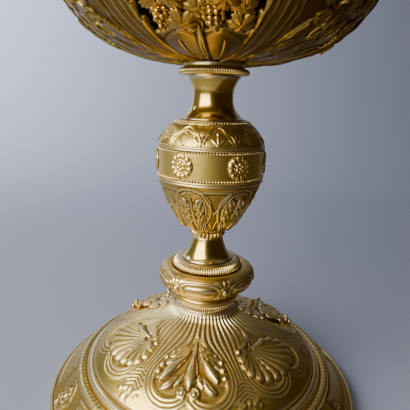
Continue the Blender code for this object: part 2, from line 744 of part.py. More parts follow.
def make_finial(base):
    """The small knob on the lid: a flared foot, a round knop and a seat for the cross."""
    r, h = FINIAL_RADIUS, FINIAL_HEIGHT
    outline = [(0.72 * r, 0.0), (0.70 * r, 0.10 * h), (0.42 * r, 0.26 * h)]
    outline += arc((0.40 * r, 0.56 * h), (0.60 * r, 0.26 * h), -70.0, 70.0, 3)
    outline += [(0.36 * r, 0.88 * h), (0.44 * r, h)]
    put_in_scene("finial", turned(place(outline, base), STEM_SEGMENTS), POLISHED_ROUGHNESS)
    return base + h


def cross_outline(base):
    """A cross with three-lobed ends, as points in the plane that faces the front."""
    half = 0.5 * CROSS_ARM_WIDTH
    foil = CROSS_FOIL_RADIUS
    crossing = base + CROSS_HEIGHT - 0.5 * CROSS_SPAN
    end = 0.5 * CROSS_SPAN - foil
    points = []
    for arm in range(4):
        length = end if arm else crossing - base
        turn = np.radians(-90.0 + 90.0 * arm)
        along = np.array([np.cos(turn), np.sin(turn)])
        across = np.array([-np.sin(turn), np.cos(turn)])
        centre = np.array([0.0, crossing])
        if arm == 0:
            tip = [(-half, length), (half, length)]
        else:
            tip = [(-half, length - CROSS_FOIL_LENGTH)]
            tip += [(-foil * 1.3, length - 0.9 * foil), (-foil * 1.1, length - 0.1 * foil)]
            tip += [(-foil * 0.55, length + 0.7 * foil), (0.0, length + foil)]
            tip += [(foil * 0.55, length + 0.7 * foil)]
            tip += [(foil * 1.1, length - 0.1 * foil), (foil * 1.3, length - 0.9 * foil)]
            tip += [(half, length - CROSS_FOIL_LENGTH)]
        points += [tuple(centre + reach * along + side * across) for side, reach in tip]
        points.append(tuple(centre + half * along + half * across))
    return points


def make_cross(base):
    bm = bmesh.new()
    front = [bm.verts.new((x, -0.5 * CROSS_THICKNESS, z)) for x, z in cross_outline(base)]
    face = bm.faces.new(front)
    solid = bmesh.ops.extrude_face_region(bm, geom=[face])
    moved = [part for part in solid["geom"] if isinstance(part, bmesh.types.BMVert)]
    bmesh.ops.translate(bm, verts=moved, vec=(0.0, CROSS_THICKNESS, 0.0))
    put_in_scene("cross", bm)


def make_ciborium():
    remove_everything()
    make_foot()
    for name, field in SPRAY_FIELDS.items():
        make_spray(name, field)
    top = make_foot_collar(FOOT_HEIGHT + JOINT_GAP)
    stem = (
        make_lower_knop,
        make_milled_ring,
        make_bell_spool,
        make_gadroon_ring,
        make_main_knop,
        make_stem_neck,
        make_bowl_collar,
    )
    for make_piece in stem:
        top = make_piece(top + JOINT_GAP)
    bowl_base = top + JOINT_GAP
    level = make_cradle(bowl_base)
    rim = make_cup(level)
    top = make_lid(rim + JOINT_GAP)
    top = make_finial(top + JOINT_GAP)
    make_cross(top + JOINT_GAP)


make_ciborium()
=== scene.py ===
"""Gilt ciborium, dressed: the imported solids' pieces remade with their chased and cast ornament.

Sizes in the outlines are millimetres from the middle of the foot's underside.
"""

from math import cos, pi, radians, sin

import bpy
import numpy as np
from mathutils import Matrix, Vector


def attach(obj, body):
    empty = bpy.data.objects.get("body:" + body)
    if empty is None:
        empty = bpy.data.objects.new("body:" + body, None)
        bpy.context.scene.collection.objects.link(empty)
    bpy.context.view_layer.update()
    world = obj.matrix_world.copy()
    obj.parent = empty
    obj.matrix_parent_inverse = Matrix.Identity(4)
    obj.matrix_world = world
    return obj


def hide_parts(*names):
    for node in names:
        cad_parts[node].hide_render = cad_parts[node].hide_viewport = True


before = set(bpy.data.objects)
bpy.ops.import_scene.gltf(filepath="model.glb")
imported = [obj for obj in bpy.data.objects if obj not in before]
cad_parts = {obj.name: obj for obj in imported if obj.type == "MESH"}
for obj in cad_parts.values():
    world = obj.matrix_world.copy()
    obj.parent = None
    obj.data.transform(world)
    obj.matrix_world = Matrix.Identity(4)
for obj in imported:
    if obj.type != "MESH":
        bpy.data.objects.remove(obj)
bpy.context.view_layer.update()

bl_info = {
    "name": "Gilt Ciborium",
    "version": (1, 0, 0),
    "blender": (4, 5, 0),
    "location": "3D View > Sidebar > Ciborium",
    "description": "Builds a gilt ciborium with chased, pierced and cast ornament, and its stage",
    "category": "Object",
}

MM = 0.001
BODY = "root"

# Six fields round the axis; the middle of the first lies a little to the left of the front
FIELDS = 6
FIELD_DEG = 360.0 / FIELDS
HALF_FIELD_DEG = 0.5 * FIELD_DEG
TURN_DEG = -7.0
STRAP_LINES = 3.5

# Levels of the pieces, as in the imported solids
FOOT_TOP = 49.7
COLLAR_BASE = 50.0
LOWER_KNOP_BASE = 54.2
MILLED_RING_BASE = 72.2
SPOOL_BASE = 75.1
GADROON_BASE = 86.0
KNOP_BASE = 89.3
NECK_BASE = 141.7
BOWL_COLLAR_BASE = 160.6
BOWL_BASE = 166.0
BOWL_LEVEL = BOWL_BASE + 44.0
LID_BASE = 236.5
FINIAL_BASE = 265.7
CROSS_BASE = 279.0

# Steps round the axis of the turned pieces
FOOT_STEPS = 600
CRADLE_STEPS = 528
MAIN_KNOP_STEPS = 504
LOWER_KNOP_STEPS = 420
LID_STEPS = 330
CUP_STEPS = 192
STEM_STEPS = 128
SMALL_STEPS = 96
LEAF_STEPS = 60
STEPS_PER_TICK = 8
GADROONS = 26
STEPS_PER_GADROON = 12

CRADLE_WALL = 1.9
CROSS_THICKNESS = 3.6
CROSS_ROUNDING = 0.7
BAND_SEAT = 24.75
BAND_MIDDLE = KNOP_BASE + 33.3
MERGE_GAP = 1e-6

# Tarnish clouds are about 11 mm across; the burnisher's grain, really far under a millimetre, is drawn 1.1 mm
# wide so that it shows
CLOUD_SIZE = 1000.0 / 90.0
GRAIN_SIZE = 1000.0 / 900.0

# Heights in metres between which the foot's flutes turn silvery and gilt again, and the knop's matt band
# begins and ends
SILVERY_FROM = (0.034, 0.048)
SILVERY_TO = (0.050, 0.058)
MATT_FROM = (0.1170, 0.1174)
MATT_TO = (0.1280, 0.1284)

# The photograph's focal length and width in pixels, and where its camera stands in metres
FOCAL_PIXELS = 400.6
WIDTH_PIXELS = 410.0
EYE = (0.0, -0.1881, 0.1489)

# How far the floor lies under the foot, and the flag over it, a dark sheet that only reflections see: painted
# shade in them
CLEARANCE = 0.0005

# The room that the metal reflects, and what is seen beyond the paper sweep
ROOM_LEFT = (0.20, 0.215, 0.24, 1.0)
ROOM_RIGHT = (0.040, 0.027, 0.016, 1.0)
ROOM_TOP = (0.30, 0.29, 0.27, 1.0)
PLAIN_GREY = (0.26, 0.27, 0.29, 1.0)


# Sizes and colours


class CiboriumSizes(bpy.types.PropertyGroup):
    """Sizes of the ornament that can be changed without touching the solids"""

    relief: bpy.props.FloatProperty(
        name="Relief", description="How high the chasing stands, as a share of its real height",
        default=1.0, min=0.2, max=1.5,
    )
    bead_radius: bpy.props.FloatProperty(
        name="Bead Radius", description="Radius of a bead in the knop's two rows",
        default=0.00052, unit="LENGTH",
    )
    beads: bpy.props.IntProperty(
        name="Beads", description="Beads in each row round the main knop", default=120,
    )
    ticks: bpy.props.IntProperty(
        name="Ticks", description="Cuts round a milled ring", default=90,
    )
    grape_radius: bpy.props.FloatProperty(
        name="Grape Radius", description="Radius of a grape on the sprays and the bowl",
        default=0.00102, unit="LENGTH",
    )


def linear(code):
    """Linear red, green and blue of an sRGB hex colour."""
    levels = [int(code[k : k + 2], 16) / 255.0 for k in (1, 3, 5)]
    return tuple(
        level / 12.92 if level <= 0.04045 else ((level + 0.055) / 1.055) ** 2.4
        for level in levels
    )


def colour(name, description, code):
    return bpy.props.FloatVectorProperty(
        name=name, description=description, subtype="COLOR", size=3, min=0.0, max=1.0,
        default=linear(code),
    )


class CiboriumColours(bpy.types.PropertyGroup):
    """Colours of the gilding and the stage"""

    gilt: colour("Gilt", "Fire gilding where it is clean", "#D8B654")
    worn: colour("Worn Gilt", "Gilding rubbed thin on the high places", "#E4D096")
    # Brown of the hollows: old wax and tarnish, and painted shade in the recesses
    brown: colour("Brown", "Old wax and tarnish in the hollows", "#5C3C18")
    cast: colour("Cast Gilt", "Paler, matt gilding of the cast sprays", "#D4BE80")
    backdrop: colour("Backdrop", "Pale paper behind and under the piece", "#84889A")
    # The flag's colour: a dark sheet that only reflections see, painting shade into the metal's right side
    cloth: colour("Flag", "The dark cloth that the right side reflects", "#554230")


# Modelling by hand


def start_piece():
    """Leaves edit mode and deselects everything, so that the next tool acts on its own piece alone."""
    if bpy.context.object and bpy.context.object.mode != "OBJECT":
        bpy.ops.object.mode_set(mode="OBJECT")
    bpy.ops.object.select_all(action="DESELECT")


def pick(piece):
    """Selects one piece alone and makes it the active one."""
    start_piece()
    piece.select_set(True)
    bpy.context.view_layer.objects.active = piece


def draw_outline(name, outline):
    """Draws an outline of radius and height, point after point, from one corner of a small triangle."""
    start_piece()
    bpy.ops.mesh.primitive_circle_add(vertices=3, radius=MM, location=(0.0, 0.0, 0.0))
    piece = bpy.context.active_object
    piece.name = name
    piece.data.name = name
    bpy.ops.object.mode_set(mode="EDIT")
    bpy.ops.mesh.select_all(action="SELECT")
    bpy.ops.mesh.merge(type="CENTER")
    points = [Vector((r * MM, 0.0, z * MM)) for r, z in outline]
    bpy.ops.transform.translate(value=points[0])
    for here, there in zip(points, points[1:]):
        bpy.ops.mesh.extrude_vertices_move(TRANSFORM_OT_translate={"value": there - here})
    return piece


def turn(name, outline, segments, closed=True):
    """Draws an outline and turns it round the axis into a closed, outward-facing body."""
    piece = draw_outline(name, outline)
    if closed:
        bpy.ops.mesh.select_all(action="SELECT")
        bpy.ops.mesh.edge_face_add()
        bpy.ops.mesh.delete(type="ONLY_FACE")
    bpy.ops.object.mode_set(mode="OBJECT")
    lathe = piece.modifiers.new("Lathe", "SCREW")
    lathe.axis = "Z"
    lathe.angle = 2 * pi
    lathe.steps = segments
    lathe.render_steps = segments
    lathe.use_merge_vertices = True
    lathe.merge_threshold = MERGE_GAP
    bpy.ops.object.modifier_apply(modifier=lathe.name)
    bpy.ops.object.mode_set(mode="EDIT")
    bpy.ops.mesh.select_all(action="SELECT")
    bpy.ops.mesh.remove_doubles(threshold=MERGE_GAP)
    bpy.ops.mesh.normals_make_consistent(inside=False)
    bpy.ops.object.mode_set(mode="OBJECT")
    bpy.ops.object.shade_smooth()
    return piece


def read(items, name, width=1, kind=float):
    """Reads one property of all of a mesh's vertices, edges, faces or loops."""
    flat = np.empty(width * len(items), dtype=kind)
    items.foreach_get(name, flat)
    return flat.reshape(-1, width) if width > 1 else flat


def corners_of(mesh):
    return read(mesh.vertices, "co", 3)


def set_corners(mesh, corners):
    mesh.vertices.foreach_set("co", corners.ravel())
    mesh.update()


def polar(corners):
    """Radius and height in millimetres, and azimuth in degrees from the front towards the right."""
    x, y, z = corners.T
    return np.hypot(x, y) / MM, z / MM, np.degrees(np.arctan2(x, -y))


def chase(piece, relief):
    """Moves a turned piece's surface along its normals by relief(radius, height, azimuth) millimetres."""
    mesh = piece.data
    corners = corners_of(mesh)
    lift = relief(*polar(corners)) * bpy.context.scene.ciborium_sizes.relief * MM
    set_corners(mesh, corners + lift[:, None] * read(mesh.vertices, "normal", 3))


def mark_hollows(piece, ground=None, reach=6, scale=0.25):
    """Stores how deep each place lies in the surface round it; what lies near ground(radius) is marked deep
    too, a painted shade where the piece lies close over that surface.
    """
    mesh = piece.data
    corners = corners_of(mesh)
    pairs = read(mesh.edges, "vertices", 2, np.int64)
    count = np.bincount(pairs.ravel(), minlength=len(corners))
    smooth = corners.copy()
    for _ in range(reach):
        for axis in range(3):
            line = smooth[:, axis]
            total = sum(
                np.bincount(pairs[:, here], weights=line[pairs[:, 1 - here]], minlength=len(corners))
                for here in (0, 1)
            )
            smooth[:, axis] = 0.5 * line + 0.5 * total / np.maximum(count, 1)
    depth = ((smooth - corners) * read(mesh.vertices, "normal", 3)).sum(axis=1) / (scale * MM)
    # Places lying close over the ground are marked deep: painted shade under the leaves and grapes
    if ground:
        radius, height, _ = polar(corners)
        above = height - ground(radius)
        depth = np.maximum(depth, 0.9 - ramp(above, 0.1, 0.8))
    layer = mesh.attributes.new("hollow", "FLOAT", "POINT")
    layer.data.foreach_set("value", np.clip(depth, -1.0, 1.0).astype(np.float32))


def finish(piece, material, slot, *nodes, ground=None):
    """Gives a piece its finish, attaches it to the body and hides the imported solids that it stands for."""
    mark_hollows(piece, ground)
    piece.data.materials.clear()
    piece.data.materials.append(material)
    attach(piece, BODY)
    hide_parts(*nodes)
    return piece


def make_turned(name, outline, steps, slot, node, relief=None):
    """Turns a piece, chases it if it has a relief, and gives it its finish."""
    piece = turn(name, outline, steps)
    if relief:
        chase(piece, relief)
    finish(piece, finish_of(slot), slot, node)


def joined(name, pieces):
    """Joins finished shapes into one mesh."""
    start_piece()
    for piece in pieces:
        piece.select_set(True)
    bpy.context.view_layer.objects.active = pieces[0]
    bpy.ops.object.join()
    piece = bpy.context.active_object
    piece.name = name
    piece.data.name = name
    return piece


# Curves and swellings


def bump(x):
    """A round swelling, one at zero and nothing beyond one either way."""
    return np.cos(0.5 * pi * np.clip(x, -1.0, 1.0)) ** 2


def dome(x):
    """Half of a round wire, seen in section."""
    return np.sqrt(np.clip(1.0 - x * x, 0.0, 1.0))


def ramp(x, low, high):
    """Rises smoothly from zero at low to one at high."""
    t = np.clip((x - low) / (high - low), 0.0, 1.0)
    return t * t * (3.0 - 2.0 * t)


def spaced(start, end, count):
    """Evenly spaced values that leave out the start."""
    return np.linspace(start, end, count + 1)[1:]


def arc(middle, level, across, tall, start_deg, end_deg, count):
    """Points of a rounded moulding about a middle, from one angle to another."""
    angles = np.radians(np.linspace(start_deg, end_deg, count))
    return [(middle + across * np.cos(a), level + tall * np.sin(a)) for a in angles]


def lifted(base, line):
    """An outline set on its level."""
    return [(r, base + z) for r, z in line]


def smooth_line(points, count=40):
    """A smooth line through points."""
    points = np.array(points, float)
    ends = np.vstack([2 * points[0] - points[1], points, 2 * points[-1] - points[-2]])
    line = []
    for t in np.linspace(0.0, len(points) - 1.0, count):
        k = min(int(t), len(points) - 2)
        u = t - k
        a, b, c, d = ends[k : k + 4]
        line.append(
            0.5 * (2 * b + (c - a) * u + (2 * a - 5 * b + 4 * c - d) * u**2
                   + (3 * b - a - 3 * c + d) * u**3)
        )
    return np.array(line)


def spiral(centre, radius, start_deg, turns, count=36):
    """A volute that winds inward."""
    t = np.linspace(0.0, 1.0, count)
    angle = np.radians(start_deg) + 2 * pi * turns * t
    reach = radius * (1.0 - 0.82 * t)
    return np.stack([centre[0] + reach * np.cos(angle), centre[1] + reach * np.sin(angle)], axis=1)


def nearest(x, y, line):
    """Distance from each place to a line, how far along it (0 to 1), and on which side."""
    best = np.full(x.shape, 1e9)
    along = np.zeros(x.shape)
    side = np.ones(x.shape)
    steps = len(line) - 1
    for k in range(steps):
        a, b = line[k], line[k + 1]
        run = b - a
        length = max(float(run @ run), 1e-12)
        t = np.clip(((x - a[0]) * run[0] + (y - a[1]) * run[1]) / length, 0.0, 1.0)
        dx = x - a[0] - t * run[0]
        dy = y - a[1] - t * run[1]
        gap = np.hypot(dx, dy)
        closer = gap < best
        best = np.where(closer, gap, best)
        along = np.where(closer, (k + t) / steps, along)
        side = np.where(closer, np.sign(run[0] * dy - run[1] * dx), side)
    return best, along, side


class Ground:
    """Places on one field of a surface, in millimetres across and outward, and the relief on them."""

    def __init__(self, x, y):
        self.x = x
        self.y = y
        self.height = np.zeros(x.shape)

    def beside(self, points, reach, count, both):
        """The places near a line and near its mirror image, their distance and how far along they lie."""
        for mirror in (1.0, -1.0) if both else (1.0,):
            line = smooth_line(points, count) if len(points) < count else np.array(points)
            line = line * (mirror, 1.0)
            low = line.min(axis=0) - reach
            high = line.max(axis=0) + reach
            where = (self.x > low[0]) & (self.x < high[0]) & (self.y > low[1]) & (self.y < high[1])
            gap, along, _ = nearest(self.x[where], self.y[where], line)
            yield where, gap, along

    def raise_to(self, where, height):
        self.height[where] = np.maximum(self.height[where], height)

    def wire(self, points, width, height, taper=(1.0, 1.0), count=40, both=True):
        """A raised line, round in section; taper is its width's share at each end."""
        for where, gap, along in self.beside(points, width, count, both):
            wide = width * (taper[0] + (taper[1] - taper[0]) * along)
            self.raise_to(where, height * dome(gap / wide) * np.minimum(1.0, wide / width + 0.2))

    def ring(self, centre, radius, width, height):
        """A raised ring."""
        self.wire(arc(*centre, radius, radius, 0.0, 360.0, 41), width, height, count=41, both=False)

    def pearl(self, centre, radius, height, both=True):
        for mirror in (1.0, -1.0) if both else (1.0,):
            gap = np.hypot(self.x - mirror * centre[0], self.y - centre[1]) / radius
            where = gap < 1.0
            self.raise_to(where, height * dome(gap[where]))

    def pearls(self, centre, ring, count, start_deg, radius, height):
        """Pearls set in a ring."""
        for place in arc(*centre, ring, ring, start_deg, start_deg + 360.0, count + 1)[:-1]:
            self.pearl(place, radius, height, both=False)

    def groove(self, points, width, depth, both=True):
        """An engraved line."""
        for where, gap, _ in self.beside(points, width, 24, both):
            self.height[where] -= depth * bump(gap / width)

    def leaf(self, points, width, height, vein=0.25, lobes=0, fullest=0.45, both=True):
        """A swelling leaf along a line: widest at fullest, with a sunk vein and scalloped edges."""
        skew = np.log(0.5) / np.log(fullest)
        for where, gap, along in self.beside(points, width, 24, both):
            wide = width * np.sin(pi * np.clip(along, 0.004, 0.996) ** skew) ** 0.7
            if lobes:
                wide = wide * (0.80 + 0.20 * np.abs(np.sin(pi * lobes * along)))
            across = gap / np.maximum(wide, 1e-3)
            body = dome(across) * (0.55 + 0.45 * np.sin(pi * along))
            if vein:
                body = body - vein * bump(gap / (0.35 * width)) * (across < 1.0)
            if lobes:
                body = body * (0.86 + 0.14 * np.cos(2 * pi * (lobes * along - 0.35 * across)))
            self.raise_to(where, height * np.maximum(body, 0.0))


def field_of(azimuth):
    """Which field each azimuth lies in, and how many degrees off its middle."""
    number = np.round((azimuth - TURN_DEG) / FIELD_DEG)
    return number.astype(int) % FIELDS, azimuth - TURN_DEG - number * FIELD_DEG


def laid_flat(radius, off, scale=1.0):
    """Places across and outward of a field seen from above."""
    return radius * np.sin(np.radians(off)) / scale, radius * np.cos(np.radians(off)) / scale


# Foot


def dome_height(radius):
    """The foot's dome: a flared neck, a nearly straight slope and a rounded shoulder."""
    t = (radius - 14.5) / 41.7
    share = 0.87 - 0.72 * t - 0.15 * t**8 + 0.13 * np.exp(-t / 0.02)
    return 24.3 + 25.4 * share


def foot_dome_outline():
    outer = [(58.8, 20.3), (58.8, 22.1), (58.2, 22.4), (57.6, 22.6), (57.0, 22.7)]
    outer += [(56.7, 22.5), (56.5, 22.6), (56.35, 23.3)]
    radii = np.concatenate([
        np.linspace(56.2, 52.0, 12),
        spaced(52.0, 20.0, 78),
        spaced(20.0, 15.6, 12),
        spaced(15.6, 14.5, 8),
    ])
    outer += [(r, float(dome_height(r))) for r in radii]
    inner = [(0.0, FOOT_TOP), (0.0, 45.0), (11.5, 45.0)]
    inner += [(r, float(dome_height(r)) - 2.6) for r in (16.0, 24.0, 34.0, 44.0, 51.0)]
    return outer + inner + [(54.8, 20.3)]


def pear_line():
    """The edge of a pear-shaped field, from the neck to where it turns in at the foot of the dome."""
    return smooth_line(
        [(2.0, 14.0), (2.3, 20.0), (3.6, 24.5), (7.0, 28.3), (11.5, 32.0), (15.0, 36.2),
         (16.5, 40.4), (16.1, 44.4), (13.8, 47.6), (10.0, 49.4), (5.6, 49.4), (2.8, 48.0)], 60
    )


def acanthus_field(ground):
    """Three swelling buds over two volutes, with curled foliage above and small leaves at the sides."""
    ground.leaf([(0.0, 31.0), (0.1, 40.0), (0.0, 47.4)], 2.7, 1.9, vein=0.0, fullest=0.55, both=False)
    ground.leaf([(-3.4, 32.8), (-8.6, 38.2), (-13.4, 44.2)], 2.2, 1.7, vein=0.0, fullest=0.55, both=False)
    ground.leaf([(3.4, 32.8), (7.8, 37.4), (12.0, 42.8)], 2.2, 1.7, vein=0.0, fullest=0.55, both=False)
    ground.leaf([(5.2, 41.0), (8.2, 45.4), (12.2, 47.6)], 1.7, 1.2, vein=0.45, fullest=0.6)
    ground.leaf([(3.0, 40.0), (4.2, 43.6), (6.4, 46.4)], 1.1, 0.9, vein=0.3)
    for points in (
        [(0.0, 24.0), (0.0, 28.0), (0.0, 33.0)],
        [(1.0, 26.0), (4.6, 28.6), (9.2, 30.0)],
        [(1.4, 28.0), (6.2, 31.2), (12.0, 32.6)],
        [(2.0, 29.6), (7.4, 33.6), (13.4, 36.6)],
        [(1.2, 27.0), (3.4, 30.6), (4.4, 35.4)],
    ):
        ground.leaf(points, 1.35, 0.95, vein=0.25, lobes=3, fullest=0.6, both=points[0][0] > 0.0)
    for place, radius in (((13.4, 36.4), 1.35), ((14.6, 39.6), 1.05), ((12.2, 32.6), 1.1), ((9.4, 30.2), 0.9)):
        ground.pearl(place, radius, 0.95 * radius)
    ground.wire(spiral((2.5, 49.0), 2.3, 250.0, 1.6), 0.42, 0.8)
    ground.pearl((2.5, 49.0), 0.8, 1.0)


def shell_field(ground):
    """A scallop of broad rays that fan out from the corner nearest the front, under a curled leaf."""
    ends = [(-13.4, 32.4), (-15.2, 35.2), (-15.4, 38.6), (-13.8, 41.8), (-10.4, 44.2), (-6.2, 45.8),
            (-1.8, 46.6), (2.6, 46.4), (6.8, 45.2), (10.2, 43.0), (12.0, 40.0), (11.2, 36.8),
            (8.0, 34.4), (3.6, 33.0)]
    apex = np.array((-7.6, 30.6))
    for end in ends:
        end = np.array(end)
        start = apex + 0.16 * (end - apex)
        middle = apex + 0.6 * (end - apex) + (0.0, 0.5)
        ground.wire([start, middle, end], 2.2, 1.15, taper=(0.14, 1.0), count=14, both=False)
    ground.leaf([(-3.0, 26.5), (-6.8, 28.4), (-11.6, 28.6)], 1.7, 1.1, vein=0.2, both=False)
    ground.pearl((-12.2, 29.2), 1.3, 1.2, both=False)
    ground.leaf([(0.0, 22.0), (-1.5, 26.0), (-5.0, 30.6)], 1.2, 0.9, vein=0.3, both=False)


def foliage_panel(ground):
    """Nested mitred lines, and engraved foliage under them, in the panels between the fields."""
    for step in range(5):
        inward = 1.05 * step
        wide = 7.4 - inward
        ground.wire([(0.0, 43.4 + 1.35 * inward), (0.5 * wide, 44.8 + 1.2 * inward), (wide, 46.4 + inward)],
                    0.40, 0.32, count=10)
        ground.wire([(wide, 46.4 + inward), (wide, 48.4 + inward), (wide + 0.4, 50.6)], 0.38, 0.28, count=10)
    for x, y, lean in ((0.0, 50.2, 0.0), (1.6, 51.2, 55.0), (3.6, 52.4, 80.0), (1.2, 53.4, 25.0)):
        tip = (x + 2.4 * sin(radians(lean)), y + 2.4 * cos(radians(lean)))
        ground.leaf([(x, y), (0.5 * (x + tip[0]), 0.5 * (y + tip[1]) + 0.1), tip], 0.75, 0.42, vein=0.3)


def foot_dome_relief(radius, height, azimuth):
    """Flutes on the neck that run down as lined straps round six pear-shaped fields and their motifs."""
    on_dome = (height > dome_height(np.maximum(radius, 14.5)) - 1.0) & (radius > 14.6)
    on_dome &= (radius < 56.0) & (height > 23.4)
    number, off = field_of(azimuth)
    x, y = laid_flat(radius, off)
    edge = pear_line()
    gap, _, side = nearest(np.abs(x), y, edge)
    beyond = -gap * side
    reach = np.hypot(edge[:, 0], edge[:, 1])
    rising = np.arange(len(edge)) < np.argmax(reach)
    edge_deg = np.interp(radius, reach[rising], np.degrees(np.arctan2(edge[rising, 0], edge[rising, 1])))
    share = (np.abs(off) - edge_deg) / np.where(np.abs(off) > edge_deg, HALF_FIELD_DEG - edge_deg, edge_deg)
    fanned = np.where(share > 0.0, STRAP_LINES * share, share)
    low = ramp(radius, 43.0, 46.0)
    phase = (1.0 - low) * fanned + low * beyond / 1.5
    in_band = (phase > np.where(y < 23.0, -1.2, -0.5)) & (phase < np.where(y > 46.0, 2.5, 9.0))
    depth = (0.56 - 0.22 * ramp(radius, 17.0, 28.0)) * ramp(radius, 14.5, 14.9)
    total = np.where(in_band, depth * (1.0 - np.sin(pi * phase) ** 4), 0.0)
    total -= 0.35 * ramp(-beyond, 0.6, 1.6) * ramp(y, 24.0, 30.0)
    for field, motif, hand, stretch in (
        (0, acanthus_field, 1.0, 1.12), (1, shell_field, 1.0, 1.0), (3, shell_field, 1.0, 1.0),
        (5, shell_field, -1.0, 1.0),
    ):
        where = (number == field) & on_dome & (radius > 20.0)
        ground = Ground(hand * x[where], 30.0 + stretch * (y[where] - 30.0))
        motif(ground)
        total[where] = np.where(ground.height > 0.0, np.maximum(total[where], ground.height), total[where])
    between = on_dome & (np.abs(off) > 12.0) & (radius > 43.0)
    turned_off = (HALF_FIELD_DEG - np.abs(off[between])) * np.sign(off[between])
    ground = Ground(*laid_flat(radius[between], turned_off))
    foliage_panel(ground)
    total[between] = np.where(beyond[between] > 3.5, ground.height, total[between])
    return np.where(on_dome, total, 0.0)


def foot_flange_outline():
    outer = [(58.8, 20.3), (58.8, 22.1), (59.3, 21.9), (59.6, 21.2), (59.9, 20.2), (60.2, 19.6)]
    outer += arc(62.0, 18.9, 2.1, 1.5, 150.0, 30.0, 14)
    outer += [(64.2, 18.6), (64.4, 18.0)]
    for t in np.linspace(0.02, 1.0, 34):
        outer.append((64.4 + 11.3 * t, 18.0 - 10.9 * t - 1.2 * np.sin(pi * t)))
    outer += arc(76.6, 6.0, 0.9, 1.1, 150.0, 0.0, 10)
    outer += [(77.5, 5.0), (77.5, 3.2), (77.3, 3.0), (77.3, 2.4), (77.5, 2.2), (77.5, 0.3), (77.2, 0.0)]
    inner = [(75.6, 0.0), (75.4, 2.6), (72.6, 5.4), (66.5, 11.2), (61.8, 16.0)]
    return outer + inner


def flange_relief(radius, height, azimuth):
    """A laurel row, panels in raised frames, and medallions between them."""
    total = np.zeros(radius.shape)
    row = (radius > 60.2) & (radius < 64.1) & (height > 18.2)
    leaves = 150.0
    phase = azimuth * leaves / 360.0
    slope = (radius - 62.0) / 2.0
    total += np.where(row, 0.32 * np.abs(np.cos(pi * (phase + 0.55 * np.abs(slope)))) * dome(slope), 0.0)
    flange = (radius > 64.6) & (radius < 75.5) & (height > 18.0 - 1.05 * (radius - 64.4) - 2.4)
    _, off = field_of(azimuth + HALF_FIELD_DEG)
    ground = Ground(radius[flange] * np.radians(off[flange]), radius[flange])
    for width in (25.2, 23.6):
        edge = width - 24.0
        frame_line = [(0.0, 66.0 - 0.6 * edge), (width - 3.0, 66.0 - 0.6 * edge), (width, 74.0 + 0.6 * edge),
                      (0.0, 74.0 + 0.6 * edge)]
        for a, b in zip(frame_line, frame_line[1:]):
            ground.wire([a, (0.5 * (a[0] + b[0]), 0.5 * (a[1] + b[1])), b], 0.5, 0.5, count=12)
    ground.leaf([(17.0, 70.0), (20.0, 68.8), (23.0, 70.0)], 1.6, 0.5, vein=0.3)
    total[flange] = np.maximum(total[flange], ground.height)
    _, off = field_of(azimuth)
    ground = Ground(radius[flange] * np.radians(off[flange]), radius[flange])
    middle = (0.0, 70.0)
    ground.ring(middle, 5.4, 0.5, 0.6)
    ground.ring(middle, 4.4, 0.35, 0.6)
    ground.pearls(middle, 2.5, 8, 0.0, 0.95, 0.85)
    ground.pearl(middle, 1.2, 1.1, both=False)
    total[flange] = np.maximum(total[flange], ground.height)
    return total


# Lower knop


def lower_knop_outline():
    shape = [
        (0.0, 0.0), (15.0, 0.0), (15.8, 0.3), (16.4, 1.0), (16.6, 1.9), (16.3, 2.9), (15.6, 3.6), (15.5, 4.0),
        (16.1, 4.3), (17.8, 5.2), (19.8, 6.8), (21.6, 8.8), (22.8, 10.7), (23.25, 12.4),
        (23.1, 13.7), (22.4, 15.0), (21.2, 16.1), (19.6, 16.8), (18.9, 16.8), (18.6, 17.0),
        (18.1, 17.0), (17.6, 16.6), (16.9, 16.2), (0.0, 16.2),
    ]
    body = smooth_line(shape[1:-1], 84)
    line = [shape[0]] + [tuple(p) for p in body] + [shape[-1]]
    return lifted(LOWER_KNOP_BASE, line)


def lower_knop_relief(radius, height, azimuth):
    """Long ovals in lined frames, with a boss in a ring between each two."""
    level = height - LOWER_KNOP_BASE
    band = (radius > 16.5) & (level > 3.8) & (level < 17.0)
    _, off = field_of(azimuth)
    x = 22.0 * np.radians(off)
    y = level - 11.0
    oval = (np.abs(x / 7.8) ** 2.6 + np.abs(y / 3.2) ** 2.6) ** (1 / 2.6)
    cartouche = 1.1 * dome(oval / 0.96) + 0.6 * bump((oval - 1.20) / 0.13)
    cartouche += 0.45 * bump((oval - 1.46) / 0.10) + 0.35 * bump((oval - 1.68) / 0.08)
    boss_x = 22.0 * np.radians(HALF_FIELD_DEG - np.abs(off))
    reach = np.hypot(boss_x, y)
    boss = 1.2 * dome(reach / 1.45) + 0.7 * bump((reach - 2.25) / 0.45)
    total = np.where(reach < 2.8, boss, cartouche * (oval < 1.8))
    ground = Ground(boss_x[band], y[band])
    ground.leaf([(1.6, 2.4), (2.6, 4.4), (5.4, 5.0)], 0.8, 0.5, vein=0.3)
    ground.leaf([(0.0, 2.4), (0.0, 4.2), (0.0, 5.8)], 0.8, 0.55, vein=0.3, both=False)
    ground.leaf([(1.4, -3.0), (2.2, -4.6), (3.8, -5.2)], 0.7, 0.45, vein=0.3)
    total[band] = np.maximum(total[band], ground.height)
    return np.where(band, total * ramp(level, 3.8, 5.4) * (1.0 - ramp(level, 15.6, 16.8)), 0.0)


# Main knop


